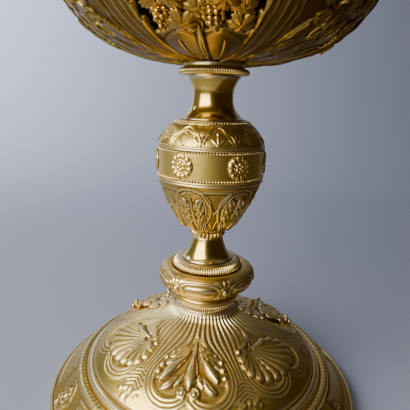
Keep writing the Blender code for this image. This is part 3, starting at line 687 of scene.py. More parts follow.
def main_knop_outline():
    line = [(0.0, 0.0), (7.4, 0.0)]
    for t in np.linspace(0.004, 0.985, 62):
        line.append((7.6 + 16.8 * t**0.80, 24.9 * t**1.22))
    line += [(24.5, 24.7), (24.85, 25.0), (24.95, 25.3), (24.8, 25.6), (24.6, 25.75), (24.8, 25.95),
             (25.0, 26.25), (24.9, 26.6), (24.6, 26.8), (24.4, 26.95), (24.35, 27.3), (24.4, 27.9)]
    line += [(24.4, z) for z in spaced(27.9, 38.6, 12)]
    line += [(24.35, 39.2), (24.4, 39.6), (24.6, 39.75), (24.9, 39.95), (25.0, 40.3), (24.8, 40.6),
             (24.6, 40.75), (24.8, 40.95), (24.95, 41.2), (24.8, 41.5), (24.5, 41.75)]
    for t in spaced(0.02, 0.98, 46):
        line.append((24.4 - 8.3 * t**1.5, 41.7 + 10.4 * t))
    line += [(16.3, 52.1), (0.0, 52.1)]
    return lifted(KNOP_BASE, line)


def knop_relief(radius, height, azimuth):
    """Leaves in ovals below, a hatched band, and a wreath of arches above."""
    level = height - KNOP_BASE
    _, off = field_of(azimuth + 15.0)
    total = np.zeros(radius.shape)
    under = (level > 0.4) & (level < 24.4) & (radius > 7.8)
    ground = Ground(radius[under] * np.radians(off[under]), level[under])
    knop_leaf(ground)
    total[under] = ground.height
    mid = 24.4 * np.radians(HALF_FIELD_DEG - np.abs(off))
    ground = Ground(mid[under], level[under])
    ground.wire([(0.0, 11.6), (3.2, 16.6), (7.0, 22.2)], 0.32, 0.38, count=12)
    ground.wire([(0.0, 22.4), (3.4, 22.4), (7.0, 22.4)], 0.32, 0.38, count=12)
    ground.wire([(1.0, 3.0), (2.2, 7.0), (5.2, 12.0)], 0.28, 0.30, count=12)
    total[under] = np.maximum(total[under], ground.height)
    triangle = under & (level > 12.4 + 1.45 * mid) & (level < 21.9)
    total[triangle] -= 0.45
    band = (level > 27.9) & (level < 38.8)
    hatch = np.sin(np.radians(azimuth) * 180.0) * np.sin(level * 2 * pi / 0.86)
    total = np.where(band, 0.045 * hatch, total)
    rings = 0.34 * bump((level - 50.7) / 0.42) + 0.30 * bump((level - 51.7) / 0.34)
    total = np.where((level > 50.0) & (radius > 16.2), rings, total)
    over = (level > 41.9) & (level < 50.2) & (radius > 17.4)
    width = 36.0
    aside = azimuth - 7.0
    aside = aside - np.round(aside / width) * width
    ground = Ground(22.0 * np.radians(aside[over]), 12.5 * (level[over] - 41.7) / 10.4)
    knop_arch(ground)
    total[over] = np.maximum(total[over], ground.height)
    return total


def knop_leaf(ground):
    """One oval under the band: nested lines round an acanthus leaf that rises from three sepals."""
    arch = [(1.4, 1.0), (3.4, 4.2), (6.2, 8.6), (8.2, 13.2), (8.6, 17.4), (6.8, 21.0), (3.6, 23.0), (0.0, 23.6)]
    ground.wire(arch, 0.45, 0.5)
    ground.wire([(max(0.76 * a - 0.3, 0.0), 0.93 * b + 0.3) for a, b in arch], 0.36, 0.45)
    ground.leaf([(0.0, 1.6), (0.0, 10.0), (0.0, 20.6)], 1.1, 1.2, vein=0.0, both=False)
    for low, reach, rise in ((6.4, 4.8, 6.6), (10.0, 5.6, 6.8), (13.6, 4.8, 6.0)):
        ground.leaf([(0.5, low), (0.45 * reach, low + 0.28 * rise), (reach, low + rise)], 1.9, 1.5,
                    vein=0.35, lobes=3, fullest=0.65)
    for tip_x, tip_y, wide in ((4.8, 8.0, 1.2), (2.8, 10.0, 1.1)):
        ground.leaf([(0.3, 1.4), (0.6 * tip_x, 0.5 * tip_y), (tip_x, tip_y)], wide, 1.7, vein=0.3, fullest=0.65)


def knop_arch(ground):
    """One arch of the wreath over the band, with a bud between two chevrons."""
    ground.wire([(6.9, 0.4), (6.3, 4.4), (3.9, 7.7), (0.0, 9.7)], 0.34, 0.36)
    ground.wire([(5.7, 0.4), (5.0, 3.9), (3.0, 6.5), (0.0, 8.1)], 0.22, 0.2)
    for middle in (0.0, 6.9):
        ground.wire([(middle, 0.8), (middle - 1.2, 2.2), (middle - 2.4, 3.8)], 0.28, 0.34, count=10)
        ground.wire([(middle, 0.8), (middle + 1.2, 2.2), (middle + 2.4, 3.8)], 0.28, 0.34, count=10)
    ground.wire([(0.0, 1.2), (0.0, 3.4), (0.0, 5.8)], 0.24, 0.3, count=10, both=False)
    ground.pearl((0.0, 6.4), 0.5, 0.5)
    for foot_x, tip_x, top in ((6.9, 6.9, 10.4), (6.6, 5.0, 10.2), (6.4, 3.2, 10.8), (6.2, 1.2, 11.4)):
        middle_x = 0.5 * (foot_x + tip_x)
        ground.leaf([(foot_x, 5.0), (middle_x, 7.2), (tip_x, top)], 0.8, 0.4, vein=0.4, fullest=0.6)


# Turned and milled pieces


def gadroon_outline():
    """A ring with a round edge."""
    seat, radius, height = 7.0, 8.4, 3.0
    line = [(0.0, 0.0), (seat, 0.0)]
    line += arc(seat, 0.5 * height, radius - seat, 0.5 * height, -78.0, 78.0, 14)
    return lifted(GADROON_BASE, line + [(seat, height), (0.0, height)])


def gadrooned(radius, height, azimuth):
    """Cuts between long beads."""
    cut = (1.0 - np.abs(np.cos(np.radians(azimuth) * 0.5 * GADROONS))) ** 0.8
    return np.where(radius > 7.1, -0.75 * cut, 0.0)


def milled(depth, least):
    """A relief of upright cuts, on what lies further out than the least radius."""
    ticks = bpy.context.scene.ciborium_sizes.ticks

    def relief(radius, height, azimuth):
        cut = 0.5 - 0.5 * np.cos(np.radians(azimuth) * ticks)
        return np.where(radius > least, -depth * cut**2, 0.0)

    return relief


def foot_collar_outline():
    line = [(0.0, 0.0), (14.0, 0.0), (14.1, 0.3), (13.9, 0.6)]
    line += arc(13.7, 2.1, 1.0, 1.5, -85.0, 85.0, 18)
    return lifted(COLLAR_BASE, line + [(13.7, 3.65), (13.9, 3.9), (0.0, 3.9)])


def milled_ring_outline():
    line = [(0.0, -1.4), (15.4, -1.4), (16.3, -1.35), (16.8, -1.0), (17.0, -0.5), (16.95, 0.0), (16.7, 0.6),
            (16.35, 1.15), (15.9, 1.6), (15.3, 2.0), (14.8, 2.2), (14.5, 2.2), (14.2, 2.5), (13.8, 2.6),
            (0.0, 2.6)]
    return lifted(MILLED_RING_BASE, line)


def spool_outline():
    height = 10.6
    line = [(7.2 + 5.7 * (1.0 - t**0.55) ** 1.15, height * t) for t in np.linspace(0.0, 1.0, 26)]
    return lifted(SPOOL_BASE, [(0.0, 0.0), *line, (0.0, height)])


def neck_outline():
    waist = 10.4
    line = [(9.2 + 6.5 * (1.0 - t) ** 2.6, waist * t**1.15) for t in np.linspace(0.0, 1.0, 22)]
    line += [(9.2 + 3.2 * t**2.2, waist + 8.2 * t) for t in spaced(0.0, 1.0, 14)]
    return lifted(NECK_BASE, [(0.0, 0.0), *line, (0.0, 18.6)])


def bowl_collar_outline():
    line = [(0.0, 0.0), (13.8, 0.0)]
    line += arc(13.8, 1.5, 2.2, 1.45, -75.0, 75.0, 14)
    return lifted(BOWL_COLLAR_BASE, line + [(13.8, 3.1), (13.6, 3.4), (13.7, 4.4), (13.9, 5.0), (0.0, 5.1)])


# Bowl


def bowl_line(level, radius, depth, count):
    """A bowl's side view, fuller than an ellipse, from the axis to its level."""
    angles = np.linspace(0.0, 0.5 * pi, count)
    return [(radius * np.sin(a) ** (2 / 2.6), level - depth * np.cos(a) ** (2 / 2.6)) for a in angles]


def bowl_skin():
    """The cradle's side view beyond its collar, and how far each point lies from the collar along it."""
    line = np.array(bowl_line(BOWL_LEVEL, 67.3, 44.0, 400))
    line = line[line[:, 0] >= 13.9]
    return line, np.concatenate([[0.0], np.cumsum(np.hypot(*np.diff(line, axis=0).T))])


SKIN_LINE, SKIN_RUN = bowl_skin()


def skin_at(way):
    """Radius and height of the place on the cradle that lies so far from its collar."""
    return float(np.interp(way, SKIN_RUN, SKIN_LINE[:, 0])), float(np.interp(way, SKIN_RUN, SKIN_LINE[:, 1]))


def cradle_outline():
    places = np.concatenate([np.linspace(0.0, 50.0, 76), spaced(50.0, SKIN_RUN[-1], 20)])
    return [skin_at(place) for place in places]


def cradle_places(radius, height, azimuth):
    """Number of the field, millimetres across from its middle, from its edge, and along from the collar."""
    number, off = field_of(azimuth)
    from_edge = radius * np.radians(HALF_FIELD_DEG - np.abs(off))
    return number, radius * np.radians(off), from_edge, np.interp(height, SKIN_LINE[:, 1], SKIN_RUN)


def strap_half_width(way):
    return 3.4 + 2.8 * ramp(way, 4.0, 40.0)


def cradle_relief(radius, height, azimuth):
    """Ridged straps between the fields, and broad veined leaves at the foot of each field."""
    number, across, from_edge, way = cradle_places(radius, height, azimuth)
    half = strap_half_width(way)
    strap = ramp(half - from_edge, -0.2, 0.5)
    spacing = 1.7 + 1.5 * ramp(way, 2.0, 36.0)
    ridge = bump(((from_edge / spacing + 0.5) % 1.0 - 0.5) * spacing / 0.55)
    total = strap * (0.55 + 0.5 * ridge - 0.15 * ramp(from_edge / spacing % 1.0, 0.5, 1.0))
    total = np.maximum(total, 1.35 * bump((half - from_edge - 0.3) / 0.7))
    for odd, motif in ((0, vine_field), (1, scroll_field)):
        where = (number % 2 == odd) & (from_edge > half - 0.4) & (way < 70.0)
        ground = Ground(across[where], way[where])
        motif(ground)
        total[where] = np.maximum(total[where], ground.height)
    rim = ramp(way, 70.5, 71.2)
    mouldings = 0.5 + 0.5 * np.abs(np.sin(pi * (way - 71.0) / 2.4))
    total = total * (1.0 - rim) + rim * mouldings
    return np.where(height > BOWL_BASE - 0.1, total, 0.0)


def vine_field(ground):
    """Two broad round-topped leaves, each with one engraved line, and a small pointed one between them."""
    for side in (-1.0, 1.0):
        ground.leaf([(side * 1.0, 0.0), (side * 5.6, 13.0), (side * 7.6, 31.5)], 7.9, 1.1, vein=0.0,
                    fullest=0.74, both=False)
    ground.groove([(0.8, 0.5), (4.4, 10.0), (7.4, 25.0)], 0.6, 0.8)
    ground.leaf([(0.0, 6.0), (0.0, 22.0), (0.0, 35.0)], 1.7, 1.7, vein=0.3, both=False)
    ground.pearl((0.0, 9.0), 0.8, 1.4, both=False)
    ground.wire([(0.0, 1.0), (0.0, 4.0), (0.0, 8.4)], 0.34, 1.3, count=10, both=False)


def scroll_field(ground):
    """Acanthus scrolls that curl away from the straps."""
    ground.leaf([(0.0, 1.0), (0.0, 16.0), (0.0, 34.0)], 4.2, 1.2, vein=0.25, lobes=4, fullest=0.6, both=False)
    ground.leaf([(3.0, 6.0), (7.5, 18.0), (10.0, 31.0)], 2.8, 1.1, vein=0.25, lobes=4, fullest=0.65)
    ground.leaf([(5.0, 30.0), (2.6, 38.0), (4.6, 46.0)], 2.6, 1.2, vein=0.25, lobes=4, fullest=0.6)
    ground.wire([(2.0, 3.0), (8.6, 12.0), (14.2, 24.0), (16.4, 34.0), (15.4, 41.0), (12.0, 44.6)], 0.65, 1.3)
    ground.wire(spiral((11.8, 42.6), 3.6, 20.0, 1.4), 0.8, 1.4)
    ground.pearl((11.8, 42.6), 1.3, 1.7)
    ground.wire(spiral((7.4, 52.6), 3.0, 200.0, 1.3), 0.7, 1.3)
    ground.leaf([(13.0, 46.0), (17.0, 53.0), (17.4, 62.0)], 3.0, 1.2, vein=0.25, lobes=5, fullest=0.55)
    ground.leaf([(0.0, 46.0), (0.0, 56.0), (0.0, 67.0)], 4.4, 1.3, vein=0.25, lobes=5, fullest=0.5, both=False)


def pierced(radius, height, azimuth):
    """True where the cradle is cut through."""
    number, across, from_edge, way = cradle_places(radius, height, azimuth)
    clear = from_edge > strap_half_width(way) + 0.5
    wide = np.abs(across)
    vine = (number % 2 == 0) & clear & (way > 29.6 + 2.6 * bump((wide - 7.6) / 8.4)) & (way < 66.0)
    vine &= wide > 1.7 * (way < 35.0)
    ground = Ground(across, way)
    for path, width in (
        ([(13.4, 30.0), (14.6, 34.0), (14.0, 38.0)], 1.3),
        ([(6.4, 33.0), (7.4, 37.0), (6.8, 40.0)], 1.3),
        ([(9.6, 48.6), (11.8, 54.0), (11.4, 61.0)], 1.9),
        ([(3.4, 58.0), (5.4, 61.0), (7.6, 63.0)], 1.4),
    ):
        ground.wire(path, width, 1.0)
    scroll = (number % 2 == 1) & clear & (ground.height > 0.1)
    return (vine | scroll) & (height > BOWL_BASE + 1.0)


def select_rough(flag):
    """Selects only the vertices whose edges or faces don't close in one way."""
    flags = ("extend", "use_wire", "use_boundary", "use_multi_face", "use_non_contiguous", "use_verts")
    bpy.ops.mesh.select_all(action="DESELECT")
    bpy.ops.mesh.select_non_manifold(**{name: name == flag for name in flags})


def cut_through(piece, mask):
    """Deletes the faces that lie where mask(radius, height, azimuth) says so, and smooths the edges."""
    mesh = piece.data
    gone = mask(*polar(corners_of(mesh)))
    sizes = read(mesh.polygons, "loop_total", kind=np.int64)
    starts = read(mesh.polygons, "loop_start", kind=np.int64)
    loops = read(mesh.loops, "vertex_index", kind=np.int64)
    inside = np.add.reduceat(gone[loops].astype(int), starts) >= sizes
    pick(piece)
    bpy.ops.object.mode_set(mode="EDIT")
    bpy.ops.mesh.select_all(action="DESELECT")
    bpy.ops.mesh.select_mode(type="FACE")
    bpy.ops.object.mode_set(mode="OBJECT")
    mesh.polygons.foreach_set("select", inside)
    bpy.ops.object.mode_set(mode="EDIT")
    bpy.ops.mesh.delete(type="FACE")
    bpy.ops.mesh.select_mode(type="VERT")
    select_rough("use_verts")
    bpy.ops.mesh.delete(type="VERT")
    select_rough("use_boundary")
    bpy.ops.mesh.vertices_smooth(factor=0.5, repeat=3)
    bpy.ops.object.mode_set(mode="OBJECT")


def thicken(piece, thickness):
    """Gives an open skin a wall on its inner side."""
    wall = piece.modifiers.new("Wall", "SOLIDIFY")
    wall.thickness = thickness * MM
    wall.offset = -1.0
    pick(piece)
    bpy.ops.object.modifier_apply(modifier=wall.name)


# Cast leaves, grapes and flowers


def perch(azimuth_deg, radius, height, slope_deg, spin_deg=0.0, lift=0.0):
    """Where a small piece sits on a turned surface: its Z along the normal, its Y up the slope."""
    azimuth = radians(azimuth_deg)
    outward = Vector((sin(azimuth), -cos(azimuth), 0.0))
    sideways = Vector((cos(azimuth), sin(azimuth), 0.0))
    tilt = radians(slope_deg)
    normal = cos(tilt) * Vector((0.0, 0.0, 1.0)) + sin(tilt) * outward
    upward = normal.cross(sideways)
    place = (outward * radius + Vector((0.0, 0.0, height)) + normal * lift) * MM
    turn_to = Matrix((sideways, upward, normal)).transposed()
    return Matrix.Translation(place) @ turn_to.to_4x4() @ Matrix.Rotation(radians(spin_deg), 4, "Z")


def settled(piece, where):
    """Applies a place to a piece's mesh."""
    piece.matrix_world = where
    pick(piece)
    bpy.ops.object.transform_apply(location=True, rotation=True, scale=True)
    return piece


def copied(piece, where, scale=1.0):
    """A copy with a mesh of its own, set in its place."""
    twin = piece.copy()
    twin.data = piece.data.copy()
    bpy.context.scene.collection.objects.link(twin)
    return settled(twin, where @ Matrix.Scale(scale, 4))


def cast_leaf(name, size, thickness):
    """A five-lobed vine leaf with raised veins and a toothed edge, from a thin turned disc."""
    outline = [(0.0, 0.0), (0.97, 0.0), (1.0, 0.5), (0.97, 1.0)]
    outline += [(r, 1.0) for r in np.linspace(0.88, 0.14, 6)] + [(0.0, 1.0)]
    piece = turn(name, [(size * r, thickness * z) for r, z in outline], LEAF_STEPS)
    mesh = piece.data
    corners = corners_of(mesh) / MM
    radius = np.hypot(corners[:, 0], corners[:, 1]) / size
    angle = np.arctan2(corners[:, 0], corners[:, 1])
    lobe = np.abs(np.cos(2.5 * angle)) ** 0.55
    reach = 0.50 + 0.50 * lobe
    reach *= 1.0 + 0.09 * np.cos(20.0 * angle)
    reach *= 1.0 - 0.18 * (np.cos(angle) < -0.6)
    scale = 1.0 + (reach - 1.0) * radius
    corners[:, 0] *= scale
    corners[:, 1] *= scale
    top = corners[:, 2] > 0.6 * thickness
    vein = np.exp(-((np.abs(np.sin(2.5 * angle)) * radius * size / 0.55) ** 2))
    crown = thickness * (0.8 * (1.0 - radius**2) + 0.5 * lobe * radius * (1.0 - radius) * 2.0)
    corners[:, 2] += np.where(top, crown + 0.28 * thickness * vein * (1.0 - radius), 0.0)
    corners[:, 2] -= 0.55 * thickness * radius**2
    set_corners(mesh, corners * MM)
    return piece


def ball(name, radius, subdivisions):
    """A round bead or grape."""
    start_piece()
    bpy.ops.mesh.primitive_ico_sphere_add(subdivisions=subdivisions, radius=radius, location=(0.0, 0.0, 0.0))
    piece = bpy.context.active_object
    piece.name = name
    bpy.ops.object.shade_smooth()
    return piece


def leaf_and_berry(name, size, thickness):
    """The leaf and the grape that a cast vine is put together from."""
    berry_radius = bpy.context.scene.ciborium_sizes.grape_radius
    return cast_leaf(f"{name}_leaf", size, thickness), ball(f"{name}_grape", berry_radius, 2)


def put_together(name, parts, *patterns):
    """Joins the copies into one casting and clears away what they were copied from."""
    for pattern in patterns:
        bpy.data.objects.remove(pattern)
    return joined(name, parts)


def cluster_places(length, width, spacing, seed):
    """Places of the grapes of one bunch, drop-shaped, in two layers."""
    chance = np.random.default_rng(seed)
    places = []
    for layer, share in ((0.0, 1.0), (0.8, 0.62)):
        rows = int(length * share / spacing)
        for row in range(rows):
            t = (row + 0.5) / rows
            wide = width * share * np.sin(pi * min(t**0.7, 1.0)) ** 0.7
            count = max(1, int(2 * wide / spacing))
            for k in range(count):
                across = (k - 0.5 * (count - 1)) * spacing
                places.append((
                    across + chance.uniform(-0.2, 0.2), length * (0.5 - t) * share + chance.uniform(-0.2, 0.2),
                    layer * spacing * 0.8,
                ))
    return places


def make_spray_piece(name, field):
    """Five rows of vine leaves with four bunches of grapes over them, cast in one and pinned to the dome."""
    leaf, berry = leaf_and_berry(name, 5.4, 0.6)
    middle = TURN_DEG + FIELD_DEG * field
    chance = np.random.default_rng(field)
    parts = []

    def on_dome(aside, radius, spin, lift):
        slope = np.degrees(np.arctan2(float(dome_height(radius - 0.5) - dome_height(radius + 0.5)), 1.0))
        return perch(middle + aside, radius, float(dome_height(radius)), slope, spin, lift)

    hand = 1.0 if field < FIELDS / 2 else -1.0
    for radius, places in (
        (22.0, (-10.0, 13.0)), (28.0, (-14.0, 4.0, 20.0)), (34.5, (-7.0, 7.0, 20.0)), (40.5, (-6.0, 6.0, 17.0)),
        (46.5, (2.0, 12.0)),
    ):
        for aside in places:
            spin = chance.uniform(0.0, 360.0)
            lift = chance.uniform(0.5, 1.1)
            parts.append(copied(leaf, on_dome(hand * aside, radius, spin, lift), chance.uniform(0.85, 1.1)))
    for aside, radius, count in ((-4.0, 47.0, 1), (22.0, 44.0, 2), (-1.0, 25.0, 4), (12.0, 31.5, 5)):
        for x, y, z in cluster_places(7.0, 3.4, 2.25, count + field):
            where = on_dome(hand * aside + np.degrees(x / radius), radius + y, 0.0, 1.2 + z)
            parts.append(copied(berry, where, 1.15))
    return put_together(f"{name}_cast", parts, leaf, berry)


def make_bowl_vine():
    """Vine leaves and bunches of grapes in the three vine windows of the cradle."""
    leaf, berry = leaf_and_berry("bowl", 6.0, 0.9)
    parts = []

    def on_bowl(middle, across, way, spin, lift):
        radius, height = skin_at(way)
        back, ahead = skin_at(way - 0.5), skin_at(way + 0.5)
        slope = 180.0 - np.degrees(np.arctan2(ahead[1] - back[1], ahead[0] - back[0]))
        return perch(middle + np.degrees(across / radius), radius, height, slope, spin, lift)

    for field in range(0, FIELDS, 2):
        middle = TURN_DEG + FIELD_DEG * field
        for across, way, spin, size, lift in (
            (-5.0, 36.0, 20.0, 1.0, 0.3), (14.0, 36.0, -40.0, 0.9, 0.3), (0.6, 42.0, 170.0, 0.8, 0.0),
            (-14.5, 46.0, 60.0, 0.9, 0.0), (-7.6, 46.5, -20.0, 1.0, 0.4), (9.6, 46.0, 30.0, 1.05, 0.4),
            (16.5, 48.0, 200.0, 0.85, 0.0), (-12.0, 57.0, 15.0, 1.05, 0.2), (-1.0, 54.5, 190.0, 1.0, 0.0),
            (8.6, 58.0, -25.0, 1.0, 0.2), (16.4, 59.0, 70.0, 0.9, 0.3), (-4.4, 63.0, 10.0, 0.85, 0.3),
            (-13.4, 42.6, 10.0, 0.8, -0.4), (6.4, 50.0, 100.0, 0.9, -0.3), (15.2, 41.6, 15.0, 0.75, -0.3),
        ):
            parts.append(copied(leaf, on_bowl(middle, across, way, spin, lift), size))
        for across, way, length, wide, number in (
            (-12.0, 38.5, 13.0, 3.6, 1), (5.4, 38.0, 14.0, 4.6, 2), (1.6, 59.0, 12.0, 4.0, 3),
            (-17.0, 60.5, 10.0, 2.6, 4),
        ):
            for x, y, z in cluster_places(length, wide, 1.95, number):
                parts.append(copied(berry, on_bowl(middle, across + x, way + y, 0.0, 0.5 + z)))
    return put_together("bowl_vine_cast", parts, leaf, berry)


def make_rosette():
    """A flower of twelve round petals about a smaller one of six, with a boss."""
    outline = [(0.0, 0.0), (5.1, 0.0), (5.4, 0.12), (5.4, 0.3)]
    outline += [(r, 0.4) for r in np.linspace(5.2, 0.2, 26)] + [(0.0, 0.4)]
    piece = turn("rosette_pattern", outline, SMALL_STEPS)
    mesh = piece.data
    corners = corners_of(mesh) / MM
    top = corners[:, 2] > 0.35
    ground = Ground(corners[top, 0], corners[top, 1])
    middle = (0.0, 0.0)
    ground.pearls(middle, 4.15, 12, 15.0, 1.12, 0.75)
    ground.ring(middle, 2.75, 0.28, 0.5)
    ground.pearls(middle, 1.55, 6, 30.0, 0.86, 0.72)
    ground.pearl(middle, 0.62, 0.95, both=False)
    corners[top, 2] += 0.8 * ground.height
    set_corners(mesh, corners * MM)
    return piece


def wrap_on_band(piece, azimuth_deg, radius, level):
    """Wraps a flat piece, its X across and its Z out, on an upright round band."""
    mesh = piece.data
    corners = corners_of(mesh) / MM
    azimuth = radians(azimuth_deg) + corners[:, 0] / radius
    reach = radius + corners[:, 2]
    wrapped = np.stack([reach * np.sin(azimuth), -reach * np.cos(azimuth), level + corners[:, 1]], axis=1)
    set_corners(mesh, wrapped * MM)


def bead_row(name, radius, level, count, bead_radius):
    """A row of small beads, one shaped and the rest copied round."""
    bead = ball(f"{name}_pattern", bead_radius, 1)
    beads = []
    for azimuth in 2 * pi * np.arange(count) / count:
        place = Vector((radius * sin(azimuth), -radius * cos(azimuth), level)) * MM
        beads.append(copied(bead, Matrix.Translation(place)))
    return put_together(name, beads, bead)


# Cup, lid and cross


def cup_outline():
    outer = [(0.0, 168.9), (12.0, 168.9)]
    outer += [p for p in bowl_line(BOWL_LEVEL, 64.8, 38.8, 40) if p[0] > 12.0]
    outer += [(64.8, z) for z in (214.0, 218.0, 222.0, 226.0, 227.4)]
    outer += [(64.5, 227.7), (64.8, 228.0), (64.8, 229.4), (64.9, 230.6), (64.9, 231.4), (64.6, 231.9),
              (64.2, 232.0), (63.8, 231.9), (63.6, 231.4)]
    inner = bowl_line(BOWL_LEVEL, 63.6, 37.6, 30)[::-1]
    return outer + [(63.6, 226.0), (63.6, 218.0)] + inner[:-1] + [(0.0, inner[-1][1])]


def lid_dome(radius, height, top_radius, count):
    """The lid's dome in side view, from its foot up to where it reaches the top radius."""
    last = np.arccos(np.clip((top_radius / radius) ** 1.1, 0.0, 1.0))
    return [
        (radius * np.cos(a) ** (2 / 2.2), LID_BASE + height * np.sin(a) ** (2 / 2.2))
        for a in np.linspace(0.0, last, count)
    ]


def lid_outline():
    outer = [(61.4, 227.4), (62.9, 227.4), (63.1, 227.8), (63.1, 232.3), (65.4, 232.3)]
    outer += arc(65.6, 233.5, 0.8, 1.2, -70.0, 80.0, 9)
    outer += [(65.0, 235.0), (64.4, 235.3), (63.6, 235.4), (62.6, 235.9), (61.8, 236.0)]
    outer += lid_dome(61.0, 29.0, 6.75, 76)
    inner = [(0.0, 265.4), (0.0, 263.6)]
    inner += [(r, z - 0.4) for r, z in lid_dome(58.4, 26.8, 4.0, 18)[::-1]]
    return outer + inner + [(61.2, 236.0)]


def lid_relief(radius, height, azimuth):
    """The foot's fields again, plainer: lined borders round a shell or a leaf."""
    on_dome = (height > 236.6) & (radius < 60.5) & (radius > 7.0)
    sky = height > LID_BASE + 28.2 * np.sqrt(np.clip(1.0 - (radius / 61.5) ** 2.2, 0.0, 1.0))
    number, off = field_of(azimuth)
    x, y = laid_flat(radius, off, 1.09)
    gap, _, side = nearest(np.abs(x), y, pear_line())
    beyond = -gap * side
    in_band = (beyond > -0.7) & (beyond < 3.6) & (radius < 58.5)
    total = np.where(in_band, 0.40 * np.cos(pi * beyond / 1.45) ** 2, 0.0) * ramp(radius, 14.0, 22.0)
    for odd, motif in ((0, acanthus_field), (1, shell_field)):
        where = (number % 2 == odd) & on_dome & (radius > 20.0)
        ground = Ground(x[where], y[where])
        motif(ground)
        total[where] = np.maximum(total[where], 0.75 * ground.height)
    return np.where(on_dome & sky, total, 0.0)


def finial_outline():
    line = [(0.0, 0.0), (6.4, 0.0), (6.5, 0.4), (6.3, 1.3), (5.2, 2.2), (4.0, 3.0), (3.8, 3.5), (4.4, 3.8)]
    line += arc(3.6, 7.3, 5.4, 3.3, -74.0, 74.0, 22)
    line += [(4.3, 10.8), (3.4, 11.3), (3.3, 11.8), (3.9, 12.3), (4.0, 12.9), (0.0, 13.0)]
    return lifted(FINIAL_BASE, line)


def cross_points():
    """A cross with three-lobed ends, as seen from the front."""
    height, span, half, foil, side_foil = 38.0, 27.0, 2.3, 3.6, 2.1
    crossing = CROSS_BASE + height - 0.5 * span
    centre = np.array([0.0, crossing])
    points = []
    for arm, length in enumerate((crossing - CROSS_BASE, *3 * [0.5 * span - foil])):
        turned_by = radians(-90.0 + 90.0 * arm)
        along = np.array([np.cos(turned_by), np.sin(turned_by)])
        across = np.array([-np.sin(turned_by), np.cos(turned_by)])
        tip = [(-half, length), (half, length)]
        if arm:
            tip = [(-half, length - 5.4)]
            tip += arc(-2.6, length - 2.2, side_foil, side_foil, 250.0, 130.0, 9)
            tip += arc(0.0, length, 0.62 * foil, foil, 170.0, 10.0, 9)
            tip += arc(2.6, length - 2.2, side_foil, side_foil, 50.0, -70.0, 9)
            tip += [(half, length - 5.4)]
        points += [tuple(centre + reach * along + side * across) for side, reach in tip]
        points.append(tuple(centre + half * along + half * across))
    return points


# Gilding


RANGE = ("Value", "From Min", "From Max", "To Min", "To Max")


def add_node(tree, kind, inputs=None, output=0, **settings):
    """Adds a node with its settings and gives back one output; an input is a socket to link, or a value."""
    made = tree.nodes.new(kind)
    for setting, value in settings.items():
        setattr(made, setting, value)
    for key, value in (inputs or {}).items():
        if isinstance(value, bpy.types.NodeSocket):
            tree.links.new(value, made.inputs[key])
        else:
            made.inputs[key].default_value = value
    return made.outputs[output]


def gilt(name, clean, worn, brown, rough, hollow_rough, dirt_and_shade_share):
    """Fire-gilt metal: clean gold on the open places, rubbed paler on the edges, brown in the hollows for old
    wax and painted shade.
    """
    material = bpy.data.materials.get(name)
    if material:
        return material
    material = bpy.data.materials.new(name)
    material.use_nodes = True
    tree = material.node_tree
    shader = tree.nodes["Principled BSDF"].inputs
    shader["Metallic"].default_value = 1.0
    place = add_node(tree, "ShaderNodeTexCoord", output="Object")
    hollow = add_node(tree, "ShaderNodeAttribute", output="Fac", attribute_name="hollow")
    height = add_node(tree, "ShaderNodeSeparateXYZ", {0: place}, 2)
    clouds, grain = (
        add_node(tree, "ShaderNodeTexNoise",
                 {"Vector": place, "Scale": 1.0 / (size * MM), "Detail": detail, "Roughness": 0.6})
        for size, detail in ((CLOUD_SIZE, 4.0), (GRAIN_SIZE, 3.0))
    )
    dirt_and_shade, rubbed, tone, neck_foot, neck_top, band_foot, band_top = (
        add_node(tree, "ShaderNodeMapRange", dict(zip(RANGE, limits)), interpolation_type="SMOOTHSTEP")
        for limits in (
            # Brown in the hollows: old wax, and painted shade in the recesses
            (hollow, 0.05, 0.46, 0.0, dirt_and_shade_share),
            (hollow, -0.05, -0.5, 0.0, 0.85),
            (clouds, 0.38, 0.72, 0.0, 0.40),
            (height, *SILVERY_FROM, 0.0, 0.8),
            (height, *SILVERY_TO, 1.0, 0.0),
            (height, *MATT_FROM, 0.0, 1.0),
            (height, *MATT_TO, 1.0, 0.0),
        )
    )
    # The silvery flutes below the collar and the matt band of the knop
    silvery, matt = (
        add_node(tree, "ShaderNodeMath", {0: foot, 1: top}, operation="MULTIPLY")
        for foot, top in ((neck_foot, neck_top), (band_foot, band_top))
    )
    # Clean gold, with tarnish clouds, the matt band, rubbed ridges, the silvery flutes, and brown for old wax
    # and painted shade in the hollows laid over it
    skin = (*clean, 1.0)
    for share, other in (
        (tone, [0.72 * c for c in clean]), (matt, [min(1.25 * c, 1.0) for c in clean]), (rubbed, worn),
        (silvery, worn), (dirt_and_shade, brown),
    ):
        skin = add_node(tree, "ShaderNodeMix", {0: share, 6: skin, 7: (*other, 1.0)}, 2, data_type="RGBA")
    tree.links.new(skin, shader["Base Color"])
    limits = (dirt_and_shade, 0.0, 1.0, rough, hollow_rough)
    dull = add_node(tree, "ShaderNodeMapRange", dict(zip(RANGE, limits)), interpolation_type="SMOOTHSTEP")
    uneven = add_node(tree, "ShaderNodeMath", {0: grain, 1: 0.12, 2: dull}, operation="MULTIPLY_ADD")
    tree.links.new(uneven, shader["Roughness"])
    dents = add_node(tree, "ShaderNodeBump", {"Height": grain, "Strength": 0.06, "Distance": 0.0002})
    tree.links.new(dents, shader["Normal"])
    return material


def shaded_copy(hue, *shares):
    """A darker copy of a colour, its red, green and blue each cut down to a share: painted shade."""
    return tuple(share * c for share, c in zip(shares, hue))


